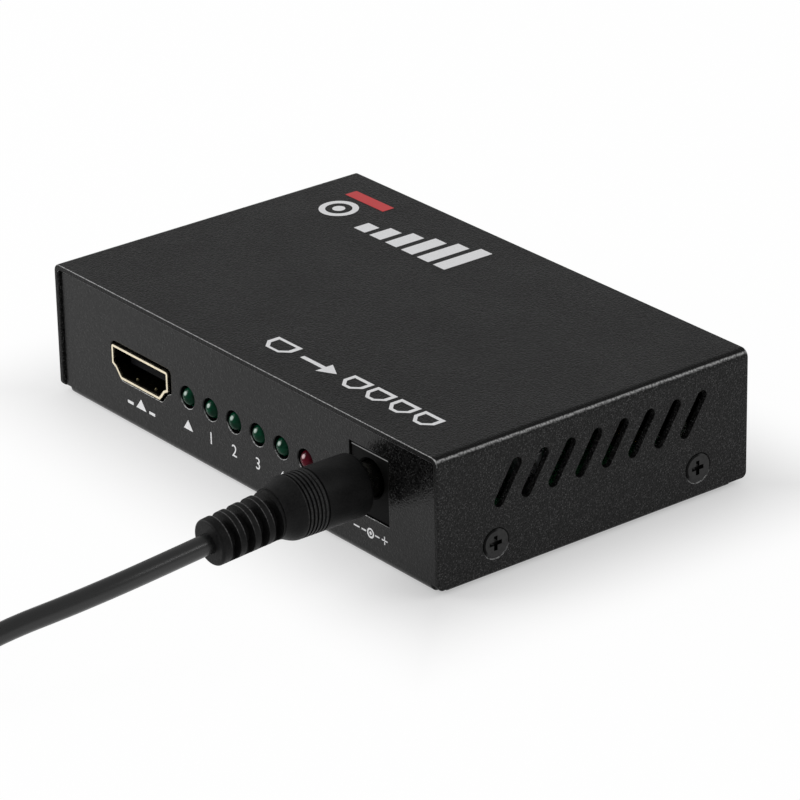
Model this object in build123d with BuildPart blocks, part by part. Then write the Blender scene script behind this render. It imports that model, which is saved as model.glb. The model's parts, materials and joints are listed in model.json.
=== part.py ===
from build123d import *
import os
from math import atan2, cos, hypot, pi, radians, sin, tan

# A small signal splitter box: a folded steel cover over a folded steel tray, with one socket,
# six lamps and a power inlet in front and four sockets behind. Its power plug is in the inlet,
# and the plug's lead is wound up beside the box. Millimetres, X along the front, Y to the rear,
# Z up, origin under the middle of the box on the surface that it stands on.

os.makedirs("parts", exist_ok=True)

# Case
case_length = 100.0
case_depth = 62.0
case_height = 22.9
sheet = 1.0
cover_inner_radius = 0.4
tray_inner_radius = 0.4
tray_edge_radius = 0.4
flap_gap = 1.0
flap_corner_radius = 1.0
panel_recess = 0.5
panel_corner_radius = 1.3
seam = 0.2
top_seam = 0.1
cut_edge_radius = 0.22
lip_share = 0.3
corner_relief_width = 1.3
corner_relief_depth = 2.2
corner_relief_height = 1.3

# Slanted vents in both side flaps
vent_count = 8
vent_pitch = 5.3
vent_width = 2.0
vent_length = 8.25
vent_angle = 57.0
vent_centre_y = 1.1
vent_centre_below_top = 7.75

# Cover screws and the tray ears that they hold
ear_width = 11.0
ear_height = 9.2
ear_corner_radius = 1.2
cover_screw_spacing = 40.6
cover_screw_centre_y = 0.4
cover_screw_z = 5.7
cover_screw_head_diameter = 4.8
cover_screw_head_height = 0.96
cover_screw_sink = 0.06
cover_screw_diameter = 2.5
cover_screw_length = 3.8
countersink_gap = 0.15
thread_gap = 0.05

# Phillips recess in every screw head
cross_width = 0.7
cross_span = 2.4
cross_depth = 0.7

# Board and its four spacers
board_end_gap = 3.3
board_edge_gap = 0.9
board_thickness = 1.6
board_corner_radius = 1.0
standoff_height = 4.6
standoff_diameter = 5.2
standoff_spigot_diameter = 3.6
standoff_from_end = 4.5
standoff_from_edge = 6.6
board_screw_diameter = 2.4
board_screw_length = 4.6
board_screw_head_diameter = 4.4
board_screw_head_height = 1.7
board_hole_diameter = 2.8
press_gap = 0.02

# Sockets, seen from outside: width, height, wall, and the step in each lower corner
socket_width = 15.5
socket_height = 5.5
socket_wall = 0.4
socket_step_width = 1.9
socket_step_height = 1.9
socket_corner_radius = 0.5
socket_length = 12.0
socket_rise = 0.8
socket_proud = 0.3
socket_cutout_gap = 0.45
socket_leg_width = 1.4
socket_leg_first = 4.6
socket_leg_spacing = 5.4
socket_leg_below = 0.6
leg_slot_gap = 0.1
block_length = 4.0
block_gap = 0.03
tongue_width = 11.6
tongue_thickness = 1.2
tongue_centre_height = 2.6
tongue_recess = 2.4
contact_width = 0.3
contact_thickness = 0.12
contact_pitch = 1.0
contact_recess = 0.5
upper_contacts = 10
lower_contacts = 9
tail_width = 0.24
tail_thickness = 0.15
tail_pitch = 0.5
tail_length = 1.4
tail_height = 1.6
dimple_radius = 0.4
dimple_spacing = 5.1
dimple_depth = 1.5
output_count = 4

# Places along the case, as shares of its length, and along the board, as shares of its sides
input_share = -0.2685
lamp_first_share = -0.142
lamp_pitch_share = 0.062
jack_share = 0.3285
output_pitch_share = 0.23
memory_shares = (-0.396, -0.053)
crystal_shares = (-0.165, -0.192)
capacitor_shares = (0.4065, 0.0)
regulator_shares = (0.17, -0.2535)
inductor_share = 0.264
resistor_shares = (-0.033, -0.297)

# Lamps
lamp_count = 6
lamp_height = 3.6
lamp_diameter = 3.2
lamp_length = 4.2
lamp_flange_diameter = 3.8
lamp_flange_thickness = 1.0
lamp_hole_diameter = 3.8
lead_size = 0.5
lead_spacing = 2.54
lead_run = 1.3
lead_below = 1.2
lead_hole_diameter = 0.9

# Power inlet
jack_width = 9.0
jack_height = 11.0
jack_length = 14.2
jack_recess = 0.3
jack_cutout_gap = 0.15
jack_bore_height = 6.3
jack_bore_diameter = 6.2
jack_bore_depth = 10.8
jack_bore_chamfer = 0.3
jack_pin_diameter = 2.0
jack_pin_recess = 1.4
jack_pin_tip_radius = 0.5
spring_width = 2.4
spring_thickness = 0.3
spring_start = 3.0
spring_end = 10.4
spring_gap = 0.15
spring_slot_gap = 0.2
lug_thickness = 0.5
lug_width = 2.6
lug_below = 1.4
lug_slot_gap = 0.12
rear_lug_rise = 1.8
side_lug_start = 6.4
side_lug_height = 3.0

# Power plug
plug_gap = 3.0
barrel_length = 9.5
barrel_hold = 3.0
barrel_diameter = 5.5
barrel_wall = 0.4
barrel_edge = 0.2
sleeve_diameter = 2.9
plug_hole_diameter = 2.2
grip_diameter = 10.1
grip_straight = 12.4
grip_shoulder = 3.5
grip_neck_diameter = 8.1
grip_edge_radius = 0.7
groove_count = 6
groove_start = 8.4
groove_pitch = 0.72
groove_width = 0.35
groove_depth = 0.22
relief_length = 11.4
relief_root_diameter = 7.9
relief_tip_diameter = 7.4
relief_core_diameter = 4.4
relief_web_width = 3.6
relief_web_drop = 0.25
relief_droop = 5.3
relief_sunk = 1.5
relief_edge_radius = 0.45
relief_slot_count = 4
relief_slot_first = 1.9
relief_slot_pitch = 2.6
relief_slot_width = 1.5

# Lead, and the corners of its shown stretch as shares of the way along each axis
cord_diameter = 3.3
cord_straight = 8.0
cord_shares = [
    (0.03, 0.28, 0.16),
    (0.22, 0.41, 0.28),
    (0.50, 0.54, 0.41),
    (0.70, 0.67, 0.61),
    (0.84, 0.795, 0.85),
]
coil_lead_in = 5.6
coil_start_x = 26.6
coil_start_y = -122.0
coil_inner_radius = 10.5
coil_half_turns = 4.125
coil_gap = 0.6
coil_heading = 262.0
coil_climb_share = 0.25
tail_straight = 7.0
tail_fall_run = 8.0

# Tie round the coil
tie_thickness = 0.5
tie_width = 5.0
tie_gap = 0.5
tie_lift = 0.1
tie_corner_radius = 1.4

# Plug at the lead's far end
far_grip_width = 16.0
far_grip_thickness = 8.0
far_grip_length = 21.0
far_grip_corner_radius = 2.4
far_grip_edge_radius = 0.8
far_relief_length = 7.0
far_shell_width = 12.0
far_shell_height = 4.5
far_shell_wall = 0.3
far_shell_length = 12.0
far_shell_hold = 4.0
far_shell_corner_radius = 0.6
far_window_width = 2.2
far_window_length = 2.0
far_window_spacing = 5.0
far_window_start = 5.2
far_tongue_thickness = 1.9
far_tongue_recess = 0.6
far_contact_count = 4
far_contact_pitch = 2.3
far_contact_width = 1.1
far_contact_thickness = 0.15
far_contact_recess = 1.2

# Small parts on the board
chip_size = 12.0
chip_height = 1.4
chip_lift = 0.15
chip_edge = 0.3
chip_lead_count = 14
chip_lead_pitch = 0.8
chip_lead_width = 0.35
chip_lead_length = 1.0
chip_lead_foot = 0.55
chip_lead_thickness = 0.15
memory_length = 4.9
memory_width = 3.9
memory_height = 1.5
memory_spacing = 11.0
memory_lead_count = 4
memory_lead_pitch = 1.27
memory_lead_width = 0.4
crystal_length = 11.0
crystal_width = 4.6
crystal_height = 3.4
capacitor_diameter = 6.3
capacitor_height = 7.6
capacitor_base = 6.6
capacitor_base_height = 0.8
capacitor_corner = 1.0
capacitor_count = 2
capacitor_spacing = 9.0
capacitor_behind_jack = 8.5
regulator_length = 6.5
regulator_width = 3.5
regulator_height = 1.6
regulator_spacing = 9.0
regulator_pitch = 2.3
regulator_lead_width = 0.7
regulator_tab_width = 3.0
regulator_lead_length = 1.6
regulator_lead_thickness = 0.3
inductor_size = 7.0
inductor_height = 4.0
inductor_corner = 1.6
inductor_pad = 0.5
inductor_behind_capacitors = 4.0
guard_length = 2.5
guard_width = 1.0
guard_height = 0.5
guard_offset = 3.0
guard_distance = 4.0
ceramic_length = 1.6
ceramic_width = 0.8
ceramic_height = 0.8
ceramic_distance = 9.2
ceramic_pitch = 3.0
ceramic_count = 5
resistor_height = 0.45
resistor_pitch = 2.0
resistor_count = 5

overrun = 1.0

# Heights and faces that several pieces share
half_length = case_length / 2
half_depth = case_depth / 2
cover_bend_radius = cover_inner_radius + sheet
tray_bend_radius = tray_inner_radius + sheet
cover_height = case_height - flap_gap
tray_half_length = half_length - sheet - seam
panel_y = half_depth - panel_recess
tray_height = case_height - sheet - top_seam
board_under = sheet + standoff_height
board_top = board_under + board_thickness
socket_floor = board_top + socket_rise
lamp_z = board_top + lamp_height
jack_face_y = -panel_y + jack_recess
jack_axis_z = board_top + jack_bore_height
cord_radius = cord_diameter / 2
board_length = 2 * (tray_half_length - board_end_gap)
board_depth = 2 * (panel_y - sheet - board_edge_gap)
input_x = case_length * input_share
jack_x = case_length * jack_share
output_pitch = case_length * output_pitch_share
lamp_pitch = case_length * lamp_pitch_share
chip_y = 0

output_names = [f"output_{number}" for number in range(1, output_count + 1)]
output_xs = [(number - (output_count - 1) / 2) * output_pitch for number in range(output_count)]
lamp_xs = [case_length * lamp_first_share + number * lamp_pitch for number in range(lamp_count)]
narrowest_web = lamp_xs[0] - lamp_hole_diameter / 2 - input_x - socket_width / 2 - socket_cutout_gap
cutout_lip_radius = min(cut_edge_radius, narrowest_web * lip_share)
lamp_names = ["led_input"] + [f"led_{number}" for number in range(1, lamp_count - 1)] + ["led_power"]
standoff_front_x = board_length / 2 - standoff_from_end
standoff_y = board_depth / 2 - standoff_from_edge
standoff_places = [
    (-standoff_front_x, -standoff_y),
    (standoff_front_x, -standoff_y),
    (-output_pitch, standoff_y),
    (output_pitch, standoff_y),
]


def front_plane(x, depth, z):
    """plane parallel to the front that faces outwards, its own y upwards"""
    return Plane(origin=(x, -depth, z), x_dir=(1, 0, 0), z_dir=(0, -1, 0))


def rear_plane(x, depth, z):
    """plane parallel to the rear that faces outwards, its own y upwards"""
    return Plane(origin=(x, depth, z), x_dir=(-1, 0, 0), z_dir=(0, 1, 0))


def side_plane(side, reach, y, z):
    """plane parallel to the right side, or to the left one when side is -1, its own y upwards"""
    return Plane(origin=(side * reach, y, z), x_dir=(0, side, 0), z_dir=(side, 0, 0))


def floor_plane(z):
    return Plane.XY.offset(z)


def on_board(shares):
    """place on the board from shares of its length and depth"""
    along, across = shares
    return board_length * along, board_depth * across


def save(builder, name):
    builder.part.label = name
    export_step(builder.part, f"parts/{name}.step")


def draw_socket_outline():
    """the mouth of a socket: a box whose two lower corners step in along a slope"""
    half = socket_width / 2
    bevel = socket_corner_radius / 2
    right = [
        (half - socket_step_width - socket_corner_radius, 0),
        (half - socket_step_width, socket_corner_radius),
        (half - socket_step_width / 2, socket_step_height - bevel),
        (half, socket_step_height + bevel),
        (half, socket_height),
    ]
    Polygon(*right, *[(-x, y) for x, y in reversed(right)], align=None)
    fillet(vertices().group_by(Axis.Y)[-1], socket_corner_radius)


# Top cover: an upturned U whose flaps hold the vents and the countersunk holes
cover_end = front_plane(0, 0, flap_gap)
vent_centre_z = case_height - vent_centre_below_top
with BuildPart() as top_cover:
    with BuildSketch(cover_end):
        Rectangle(case_length, cover_height, align=(Align.CENTER, Align.MIN))
        fillet(vertices().group_by(Axis.Y)[-1], cover_bend_radius)
    extrude(amount=half_depth, both=True)
    with BuildSketch(cover_end):
        Rectangle(case_length - 2 * sheet, cover_height - sheet, align=(Align.CENTER, Align.MIN))
        fillet(vertices().group_by(Axis.Y)[-1], cover_inner_radius)
    extrude(amount=half_depth + overrun, both=True, mode=Mode.SUBTRACT)
    fillet(edges().filter_by(Axis.X).group_by(Axis.Z)[0], flap_corner_radius)
    fillet(faces().filter_by(Axis.Y).edges(), cut_edge_radius)
    with BuildSketch(Plane(origin=(0, vent_centre_y, vent_centre_z), x_dir=(0, 1, 0), z_dir=(1, 0, 0))):
        with GridLocations(vent_pitch, 0, vent_count, 1):
            SlotOverall(vent_length, vent_width, rotation=vent_angle)
    extrude(amount=half_length + overrun, both=True, mode=Mode.SUBTRACT)
    for side in (-1, 1):
        with Locations(side_plane(side, half_length, cover_screw_centre_y, cover_screw_z)):
            with GridLocations(cover_screw_spacing, 0, 2, 1):
                CounterSinkHole(
                    radius=cover_screw_diameter / 2 + countersink_gap,
                    counter_sink_radius=cover_screw_head_diameter / 2 + cover_screw_sink + countersink_gap,
                    depth=sheet + overrun,
                    counter_sink_angle=90,
                )
save(top_cover, "top_cover")

# Tray: floor, front panel and rear panel in one fold, with four ears for the cover screws
ear_ys = [cover_screw_centre_y - cover_screw_spacing / 2, cover_screw_centre_y + cover_screw_spacing / 2]
with BuildPart() as base_tray:
    with BuildSketch(Plane.YZ):
        Rectangle(2 * panel_y, tray_height, align=(Align.CENTER, Align.MIN))
        fillet(vertices().group_by(Axis.Y)[0], tray_bend_radius)
    extrude(amount=tray_half_length, both=True)
    with BuildSketch(Plane(origin=(0, 0, sheet), x_dir=(0, 1, 0), z_dir=(1, 0, 0))):
        Rectangle(2 * (panel_y - sheet), tray_height, align=(Align.CENTER, Align.MIN))
        fillet(vertices().group_by(Axis.Y)[0], tray_inner_radius)
    extrude(amount=tray_half_length + overrun, both=True, mode=Mode.SUBTRACT)
    fillet(edges().filter_by(Axis.Y).group_by(Axis.Z)[-1], panel_corner_radius)
    for side in (-1, 1):
        for ear_y in ear_ys:
            with BuildSketch(side_plane(side, tray_half_length, ear_y, 0)):
                Rectangle(ear_width, ear_height, align=(Align.CENTER, Align.MIN))
                fillet(vertices().group_by(Axis.Y)[-1], ear_corner_radius)
            extrude(amount=-sheet)
    with GridLocations(2 * tray_half_length, 2 * panel_y, 2, 2):
        Box(2 * corner_relief_width, 2 * corner_relief_depth, 2 * corner_relief_height, mode=Mode.SUBTRACT)
    fillet(edges().filter_by(Axis.Y).group_by(Axis.Z)[0].sort_by(SortBy.LENGTH)[-2:], tray_edge_radius)
    for side in (-1, 1):
        with Locations(side_plane(side, tray_half_length, cover_screw_centre_y, cover_screw_z)):
            with GridLocations(cover_screw_spacing, 0, 2, 1):
                Hole(cover_screw_diameter / 2 + thread_gap, depth=sheet + overrun)
    with Locations(floor_plane(sheet)):
        with Locations(*standoff_places):
            Hole(standoff_spigot_diameter / 2 + press_gap, depth=sheet + overrun)
    with BuildSketch(front_plane(input_x, panel_y, socket_floor)):
        draw_socket_outline()
        offset(amount=socket_cutout_gap)
    extrude(amount=-sheet - overrun, mode=Mode.SUBTRACT)
    for x in output_xs:
        with BuildSketch(rear_plane(x, panel_y, socket_floor)):
            draw_socket_outline()
            offset(amount=socket_cutout_gap)
        extrude(amount=-sheet - overrun, mode=Mode.SUBTRACT)
    with BuildSketch(front_plane(0, panel_y, lamp_z)):
        with Locations(*[(x, 0) for x in lamp_xs]):
            Circle(lamp_hole_diameter / 2)
    extrude(amount=-sheet - overrun, mode=Mode.SUBTRACT)
    with BuildSketch(front_plane(jack_x, panel_y, board_top + jack_height / 2)):
        Rectangle(jack_width + 2 * jack_cutout_gap, jack_height + 2 * jack_cutout_gap)
    extrude(amount=-sheet - overrun, mode=Mode.SUBTRACT)
    fillet(faces().filter_by(Axis.Y).sort_by(Axis.Y)[0].inner_wires().edges(), cutout_lip_radius)
    fillet(faces().filter_by(Axis.Y).sort_by(Axis.Y)[-1].inner_wires().edges(), cutout_lip_radius)
save(base_tray, "base_tray")


def cut_cross(top):
    """cross recess in a screw head whose outer face is the given plane"""
    with BuildSketch(top) as cross:
        Rectangle(cross_span, cross_width)
        Rectangle(cross_width, cross_span)
    extrude(cross.sketch, amount=-cross_depth, mode=Mode.SUBTRACT)


# Countersunk cover screws, each from just under the flap's face through its ear
screw_face_x = half_length - cover_screw_sink
with BuildPart() as cover_screws:
    for side in (-1, 1):
        for ear_y in ear_ys:
            head = side_plane(side, screw_face_x, ear_y, cover_screw_z)
            with BuildSketch(head):
                Circle(cover_screw_head_diameter / 2)
            with BuildSketch(head.offset(-cover_screw_head_height)):
                Circle(cover_screw_diameter / 2)
            loft()
            with BuildSketch(head.offset(-cover_screw_head_height)):
                Circle(cover_screw_diameter / 2)
            extrude(amount=cover_screw_head_height - cover_screw_length)
            cut_cross(head)
save(cover_screws, "cover_screws")

# Spacers pressed into the tray's floor
with BuildPart() as board_standoffs:
    with BuildSketch(floor_plane(sheet)):
        with Locations(*standoff_places):
            Circle(standoff_diameter / 2)
    extrude(amount=standoff_height)
    with BuildSketch(floor_plane(sheet)):
        with Locations(*standoff_places):
            Circle(standoff_spigot_diameter / 2)
    extrude(amount=top_seam - sheet)
    with BuildSketch(floor_plane(sheet + standoff_height)):
        with Locations(*standoff_places):
            Circle(board_screw_diameter / 2 + thread_gap)
    extrude(amount=-standoff_height - sheet, mode=Mode.SUBTRACT)
save(board_standoffs, "board_standoffs")

# Pan head screws that hold the board down
with BuildPart() as board_screws:
    with BuildSketch(floor_plane(board_top)):
        with Locations(*standoff_places):
            Circle(board_screw_head_diameter / 2)
    extrude(amount=board_screw_head_height)
    fillet(edges().filter_by(GeomType.CIRCLE).group_by(Axis.Z)[-1], board_screw_head_height / 3)
    with BuildSketch(floor_plane(board_top)):
        with Locations(*standoff_places):
            Circle(board_screw_diameter / 2)
    extrude(amount=-board_screw_length)
    for x, y in standoff_places:
        cut_cross(Plane(origin=(x, y, board_top + board_screw_head_height), x_dir=(1, 0, 0), z_dir=(0, 0, 1)))
save(board_screws, "board_screws")


def socket_leg_places():
    """middle of each socket leg on the board, for the front socket and then the rear ones"""
    reach = socket_width / 2 - socket_wall / 2
    rows = [(input_x, -1)] + [(x, 1) for x in output_xs]
    face = panel_y + socket_proud
    return [
        (x + side * reach, end * (face - socket_leg_first - step * socket_leg_spacing))
        for x, end in rows
        for side in (-1, 1)
        for step in (0, 1)
    ]


# Lamp leads drop through the board behind each lamp
lamp_tip_y = -half_depth
lamp_back_y = lamp_tip_y + lamp_length + lamp_flange_thickness
lead_y = lamp_back_y + lead_run
lead_places = [(x + side * lead_spacing / 2, lead_y) for x in lamp_xs for side in (-1, 1)]
jack_back_y = jack_face_y + jack_length
spring_lug_y = jack_face_y + spring_end - spring_thickness / 2
side_lug_y = jack_face_y + side_lug_start + lug_width / 2
side_lug_x = jack_x - jack_width / 2 - lug_thickness / 2
rear_lug_y = jack_back_y + lug_thickness / 2

# Main board with every hole that a screw, leg, lead or lug passes through
with BuildPart() as main_board:
    with BuildSketch(floor_plane(board_under)):
        RectangleRounded(board_length, board_depth, board_corner_radius)
        with Locations(*standoff_places):
            Circle(board_hole_diameter / 2, mode=Mode.SUBTRACT)
        with Locations(*socket_leg_places()):
            Rectangle(socket_wall + 2 * leg_slot_gap, socket_leg_width + 2 * leg_slot_gap, mode=Mode.SUBTRACT)
        with Locations(*lead_places):
            Circle(lead_hole_diameter / 2, mode=Mode.SUBTRACT)
        with Locations((jack_x, rear_lug_y)):
            Rectangle(lug_width + 2 * lug_slot_gap, lug_thickness + 2 * lug_slot_gap, mode=Mode.SUBTRACT)
        with Locations((side_lug_x, side_lug_y)):
            Rectangle(lug_thickness + 2 * lug_slot_gap, lug_width + 2 * lug_slot_gap, mode=Mode.SUBTRACT)
        with Locations((jack_x, spring_lug_y)):
            Rectangle(
                spring_width + 2 * lug_slot_gap, spring_thickness + 2 * lug_slot_gap, mode=Mode.SUBTRACT
            )
    extrude(amount=board_thickness)
save(main_board, "main_board")


def make_socket(name, mouth):
    """shell, insulator and contacts of one socket whose mouth lies in the given plane"""
    contact_start = tongue_recess + contact_recess
    block_start = socket_length - block_length
    leg_bottom = board_under - socket_leg_below - socket_floor
    reach = socket_width / 2 - socket_wall / 2
    leg_height = socket_height - socket_corner_radius - leg_bottom
    with BuildPart() as shell:
        with BuildSketch(mouth):
            draw_socket_outline()
        extrude(amount=-socket_length)
        with BuildSketch(mouth):
            draw_socket_outline()
            offset(amount=-socket_wall, mode=Mode.REPLACE)
        extrude(amount=-socket_length, mode=Mode.SUBTRACT)
        for step in (0, 1):
            with BuildSketch(mouth.offset(-socket_leg_first - step * socket_leg_spacing)):
                with Locations((-reach, leg_bottom), (reach, leg_bottom)):
                    Rectangle(socket_wall, leg_height, align=(Align.CENTER, Align.MIN))
            extrude(amount=socket_leg_width / 2, both=True)
        with Locations(mouth.offset(-dimple_depth)):
            with Locations((0, socket_wall)):
                with GridLocations(dimple_spacing, 0, 2, 1):
                    Sphere(dimple_radius)
    save(shell, f"{name}_shell")

    with BuildPart() as insulator:
        with BuildSketch(mouth.offset(-block_start)):
            draw_socket_outline()
            offset(amount=-socket_wall - block_gap, mode=Mode.REPLACE)
        extrude(amount=-block_length)
        with BuildSketch(mouth.offset(-tongue_recess)):
            with Locations((0, tongue_centre_height)):
                Rectangle(tongue_width, tongue_thickness)
        extrude(amount=tongue_recess - block_start)
    save(insulator, f"{name}_insulator")

    with BuildPart() as contacts:
        with BuildSketch(mouth.offset(-contact_start)):
            with Locations((0, tongue_centre_height + (tongue_thickness + contact_thickness) / 2)):
                with GridLocations(contact_pitch, 0, upper_contacts, 1):
                    Rectangle(contact_width, contact_thickness)
            with Locations((0, tongue_centre_height - (tongue_thickness + contact_thickness) / 2)):
                with GridLocations(contact_pitch, 0, lower_contacts, 1):
                    Rectangle(contact_width, contact_thickness)
        extrude(amount=contact_start - block_start)
        with BuildSketch(mouth.offset(-socket_length)):
            with Locations((0, -socket_rise)):
                with GridLocations(tail_pitch, 0, upper_contacts + lower_contacts, 1):
                    Rectangle(tail_width, tail_height, align=(Align.CENTER, Align.MIN))
        extrude(amount=-tail_thickness)
        with BuildSketch(mouth.offset(-socket_length)):
            with Locations((0, -socket_rise)):
                with GridLocations(tail_pitch, 0, upper_contacts + lower_contacts, 1):
                    Rectangle(tail_width, tail_thickness, align=(Align.CENTER, Align.MIN))
        extrude(amount=-tail_length)
    save(contacts, f"{name}_contacts")


make_socket("input", front_plane(input_x, panel_y + socket_proud, socket_floor))
for name, x in zip(output_names, output_xs):
    make_socket(name, rear_plane(x, panel_y + socket_proud, socket_floor))


def make_lamp(name, x):
    """a round lamp lying along Y: dome, barrel and flange turned about its own axis"""
    radius = lamp_diameter / 2
    tip = Plane(origin=(x, lamp_tip_y, lamp_z), x_dir=(1, 0, 0), z_dir=(0, 0, 1))
    with BuildPart() as lamp:
        with BuildSketch(tip):
            with BuildLine():
                dome = RadiusArc((0, 0), (radius, radius), -radius)
                Polyline(
                    dome @ 1,
                    (radius, lamp_length),
                    (lamp_flange_diameter / 2, lamp_length),
                    (lamp_flange_diameter / 2, lamp_length + lamp_flange_thickness),
                    (0, lamp_length + lamp_flange_thickness),
                    (0, 0),
                )
            make_face()
        revolve(axis=Axis((x, lamp_tip_y, lamp_z), (0, 1, 0)))
    save(lamp, name)


for name, x in zip(lamp_names, lamp_xs):
    make_lamp(name, x)

# Lamp leads: back out of each flange, then straight down through the board
lead_drop = lamp_z - board_under + lead_below
with BuildPart() as led_leads:
    with BuildSketch(Plane(origin=(0, lamp_back_y, lamp_z), x_dir=(-1, 0, 0), z_dir=(0, 1, 0))):
        with Locations(*[(-x, 0) for x, _ in lead_places]):
            Rectangle(lead_size, lead_size)
    extrude(amount=lead_run + lead_size / 2)
    with BuildSketch(floor_plane(lamp_z + lead_size / 2)):
        with Locations(*lead_places):
            Rectangle(lead_size, lead_size)
    extrude(amount=-lead_drop - lead_size / 2)
save(led_leads, "led_leads")

# Power inlet: housing with the plug's bore, and a slot under it for the leaf spring
jack_mouth = front_plane(jack_x, -jack_face_y, jack_axis_z)
spring_top = -barrel_diameter / 2 - spring_gap
with BuildPart() as dc_jack_housing:
    with BuildSketch(jack_mouth):
        with Locations((0, -jack_bore_height)):
            Rectangle(jack_width, jack_height, align=(Align.CENTER, Align.MIN))
    extrude(amount=-jack_length)
    with BuildSketch(jack_mouth):
        Circle(jack_bore_diameter / 2)
    extrude(amount=-jack_bore_depth, mode=Mode.SUBTRACT)
    chamfer(edges().filter_by(GeomType.CIRCLE).group_by(Axis.Y)[0], jack_bore_chamfer)
    with BuildSketch(jack_mouth):
        Circle(jack_pin_diameter / 2 + press_gap)
    extrude(amount=-jack_length, mode=Mode.SUBTRACT)
    with BuildSketch(jack_mouth.offset(spring_slot_gap - spring_start)):
        with Locations((0, -jack_bore_height)):
            Rectangle(
                spring_width + 2 * spring_slot_gap,
                jack_bore_height + spring_top,
                align=(Align.CENTER, Align.MIN),
            )
    extrude(amount=spring_start - spring_end - 2 * spring_slot_gap, mode=Mode.SUBTRACT)
save(dc_jack_housing, "dc_jack_housing")

with BuildPart() as dc_jack_pin:
    with BuildSketch(jack_mouth.offset(-jack_pin_recess)):
        Circle(jack_pin_diameter / 2)
    extrude(amount=jack_pin_recess - jack_length)
    fillet(edges().group_by(Axis.Y)[0], jack_pin_tip_radius)
save(dc_jack_pin, "dc_jack_pin")

# Leaf spring under the plug's barrel, folded down through the board as its own lug
spring_drop = board_under - lug_below - jack_axis_z - spring_top
with BuildPart() as dc_jack_spring:
    with BuildSketch(jack_mouth.offset(-spring_start)):
        with Locations((0, spring_top)):
            Rectangle(spring_width, spring_thickness, align=(Align.CENTER, Align.MAX))
    extrude(amount=spring_start - spring_end)
    with BuildSketch(jack_mouth.offset(spring_thickness - spring_end)):
        with Locations((0, spring_top)):
            Rectangle(spring_width, -spring_drop, align=(Align.CENTER, Align.MAX))
    extrude(amount=-spring_thickness)
save(dc_jack_spring, "dc_jack_spring")

with BuildPart() as dc_jack_terminals:
    with BuildSketch(Plane(origin=(jack_x, jack_back_y, jack_axis_z), x_dir=(-1, 0, 0), z_dir=(0, 1, 0))):
        with Locations((0, rear_lug_rise)):
            Rectangle(
                lug_width,
                jack_axis_z + rear_lug_rise - board_under + lug_below,
                align=(Align.CENTER, Align.MAX),
            )
    extrude(amount=lug_thickness)
    with BuildSketch(side_plane(-1, jack_width / 2 - jack_x, side_lug_y, board_under - lug_below)):
        Rectangle(lug_width, lug_below + board_thickness + side_lug_height, align=(Align.CENTER, Align.MIN))
    extrude(amount=lug_thickness)
save(dc_jack_terminals, "dc_jack_terminals")

# Splitter chip and its gull leads
chip_middle = (0, chip_y)
with BuildPart() as splitter_chip:
    with BuildSketch(floor_plane(board_top + chip_lift)):
        with Locations(chip_middle):
            Rectangle(chip_size, chip_size)
    extrude(amount=chip_height)
    chamfer(edges().group_by(Axis.Z)[-1], chip_edge)
save(splitter_chip, "splitter_chip")

chip_lead_root = chip_lift + chip_height / 2
with BuildPart() as splitter_chip_leads:
    for quarter in range(4):
        edge = Plane(origin=(0, chip_y, board_top)).rotated((0, 0, 90 * quarter))
        foot = edge.from_local_coords((0, -chip_size / 2, 0))
        wall = Plane(origin=foot, x_dir=edge.x_dir, z_dir=-edge.y_dir)
        with BuildSketch(wall):
            with Locations((0, chip_lead_root)):
                with GridLocations(chip_lead_pitch, 0, chip_lead_count, 1):
                    Rectangle(chip_lead_width, chip_lead_thickness, align=(Align.CENTER, Align.MAX))
        extrude(amount=chip_lead_length - chip_lead_foot)
        with BuildSketch(wall.offset(chip_lead_length - chip_lead_foot - chip_lead_thickness)):
            with GridLocations(chip_lead_pitch, 0, chip_lead_count, 1):
                Rectangle(chip_lead_width, chip_lead_root, align=(Align.CENTER, Align.MIN))
        extrude(amount=chip_lead_thickness)
        with BuildSketch(wall.offset(chip_lead_length - chip_lead_foot - chip_lead_thickness)):
            with GridLocations(chip_lead_pitch, 0, chip_lead_count, 1):
                Rectangle(chip_lead_width, chip_lead_thickness, align=(Align.CENTER, Align.MIN))
        extrude(amount=chip_lead_foot + chip_lead_thickness)
save(splitter_chip_leads, "splitter_chip_leads")

# Two memory chips and their leads
memory_x, memory_y = on_board(memory_shares)
memory_places = [(memory_x, memory_y - memory_spacing / 2), (memory_x, memory_y + memory_spacing / 2)]
with BuildPart() as memory_chips:
    with BuildSketch(floor_plane(board_top)):
        with Locations(*memory_places):
            Rectangle(memory_length, memory_width)
    extrude(amount=memory_height)
    chamfer(edges().group_by(Axis.Z)[-1], chip_edge)
save(memory_chips, "memory_chips")

with BuildPart() as memory_chip_leads:
    for end in (-1, 1):
        for x, y in memory_places:
            wall = Plane(
                origin=(x, y + end * memory_width / 2, board_top), x_dir=(-end, 0, 0), z_dir=(0, end, 0)
            )
            with BuildSketch(wall):
                with GridLocations(memory_lead_pitch, 0, memory_lead_count, 1):
                    Rectangle(memory_lead_width, memory_height / 2, align=(Align.CENTER, Align.MIN))
            extrude(amount=chip_lead_thickness)
            with BuildSketch(wall):
                with GridLocations(memory_lead_pitch, 0, memory_lead_count, 1):
                    Rectangle(memory_lead_width, chip_lead_thickness, align=(Align.CENTER, Align.MIN))
            extrude(amount=chip_lead_length)
save(memory_chip_leads, "memory_chip_leads")

# Crystal can
with BuildPart() as crystal:
    with BuildSketch(floor_plane(board_top)):
        with Locations(on_board(crystal_shares)):
            SlotOverall(crystal_length, crystal_width)
    extrude(amount=crystal_height)
    fillet(edges().group_by(Axis.Z)[-1], chip_edge)
save(crystal, "crystal")

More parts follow.
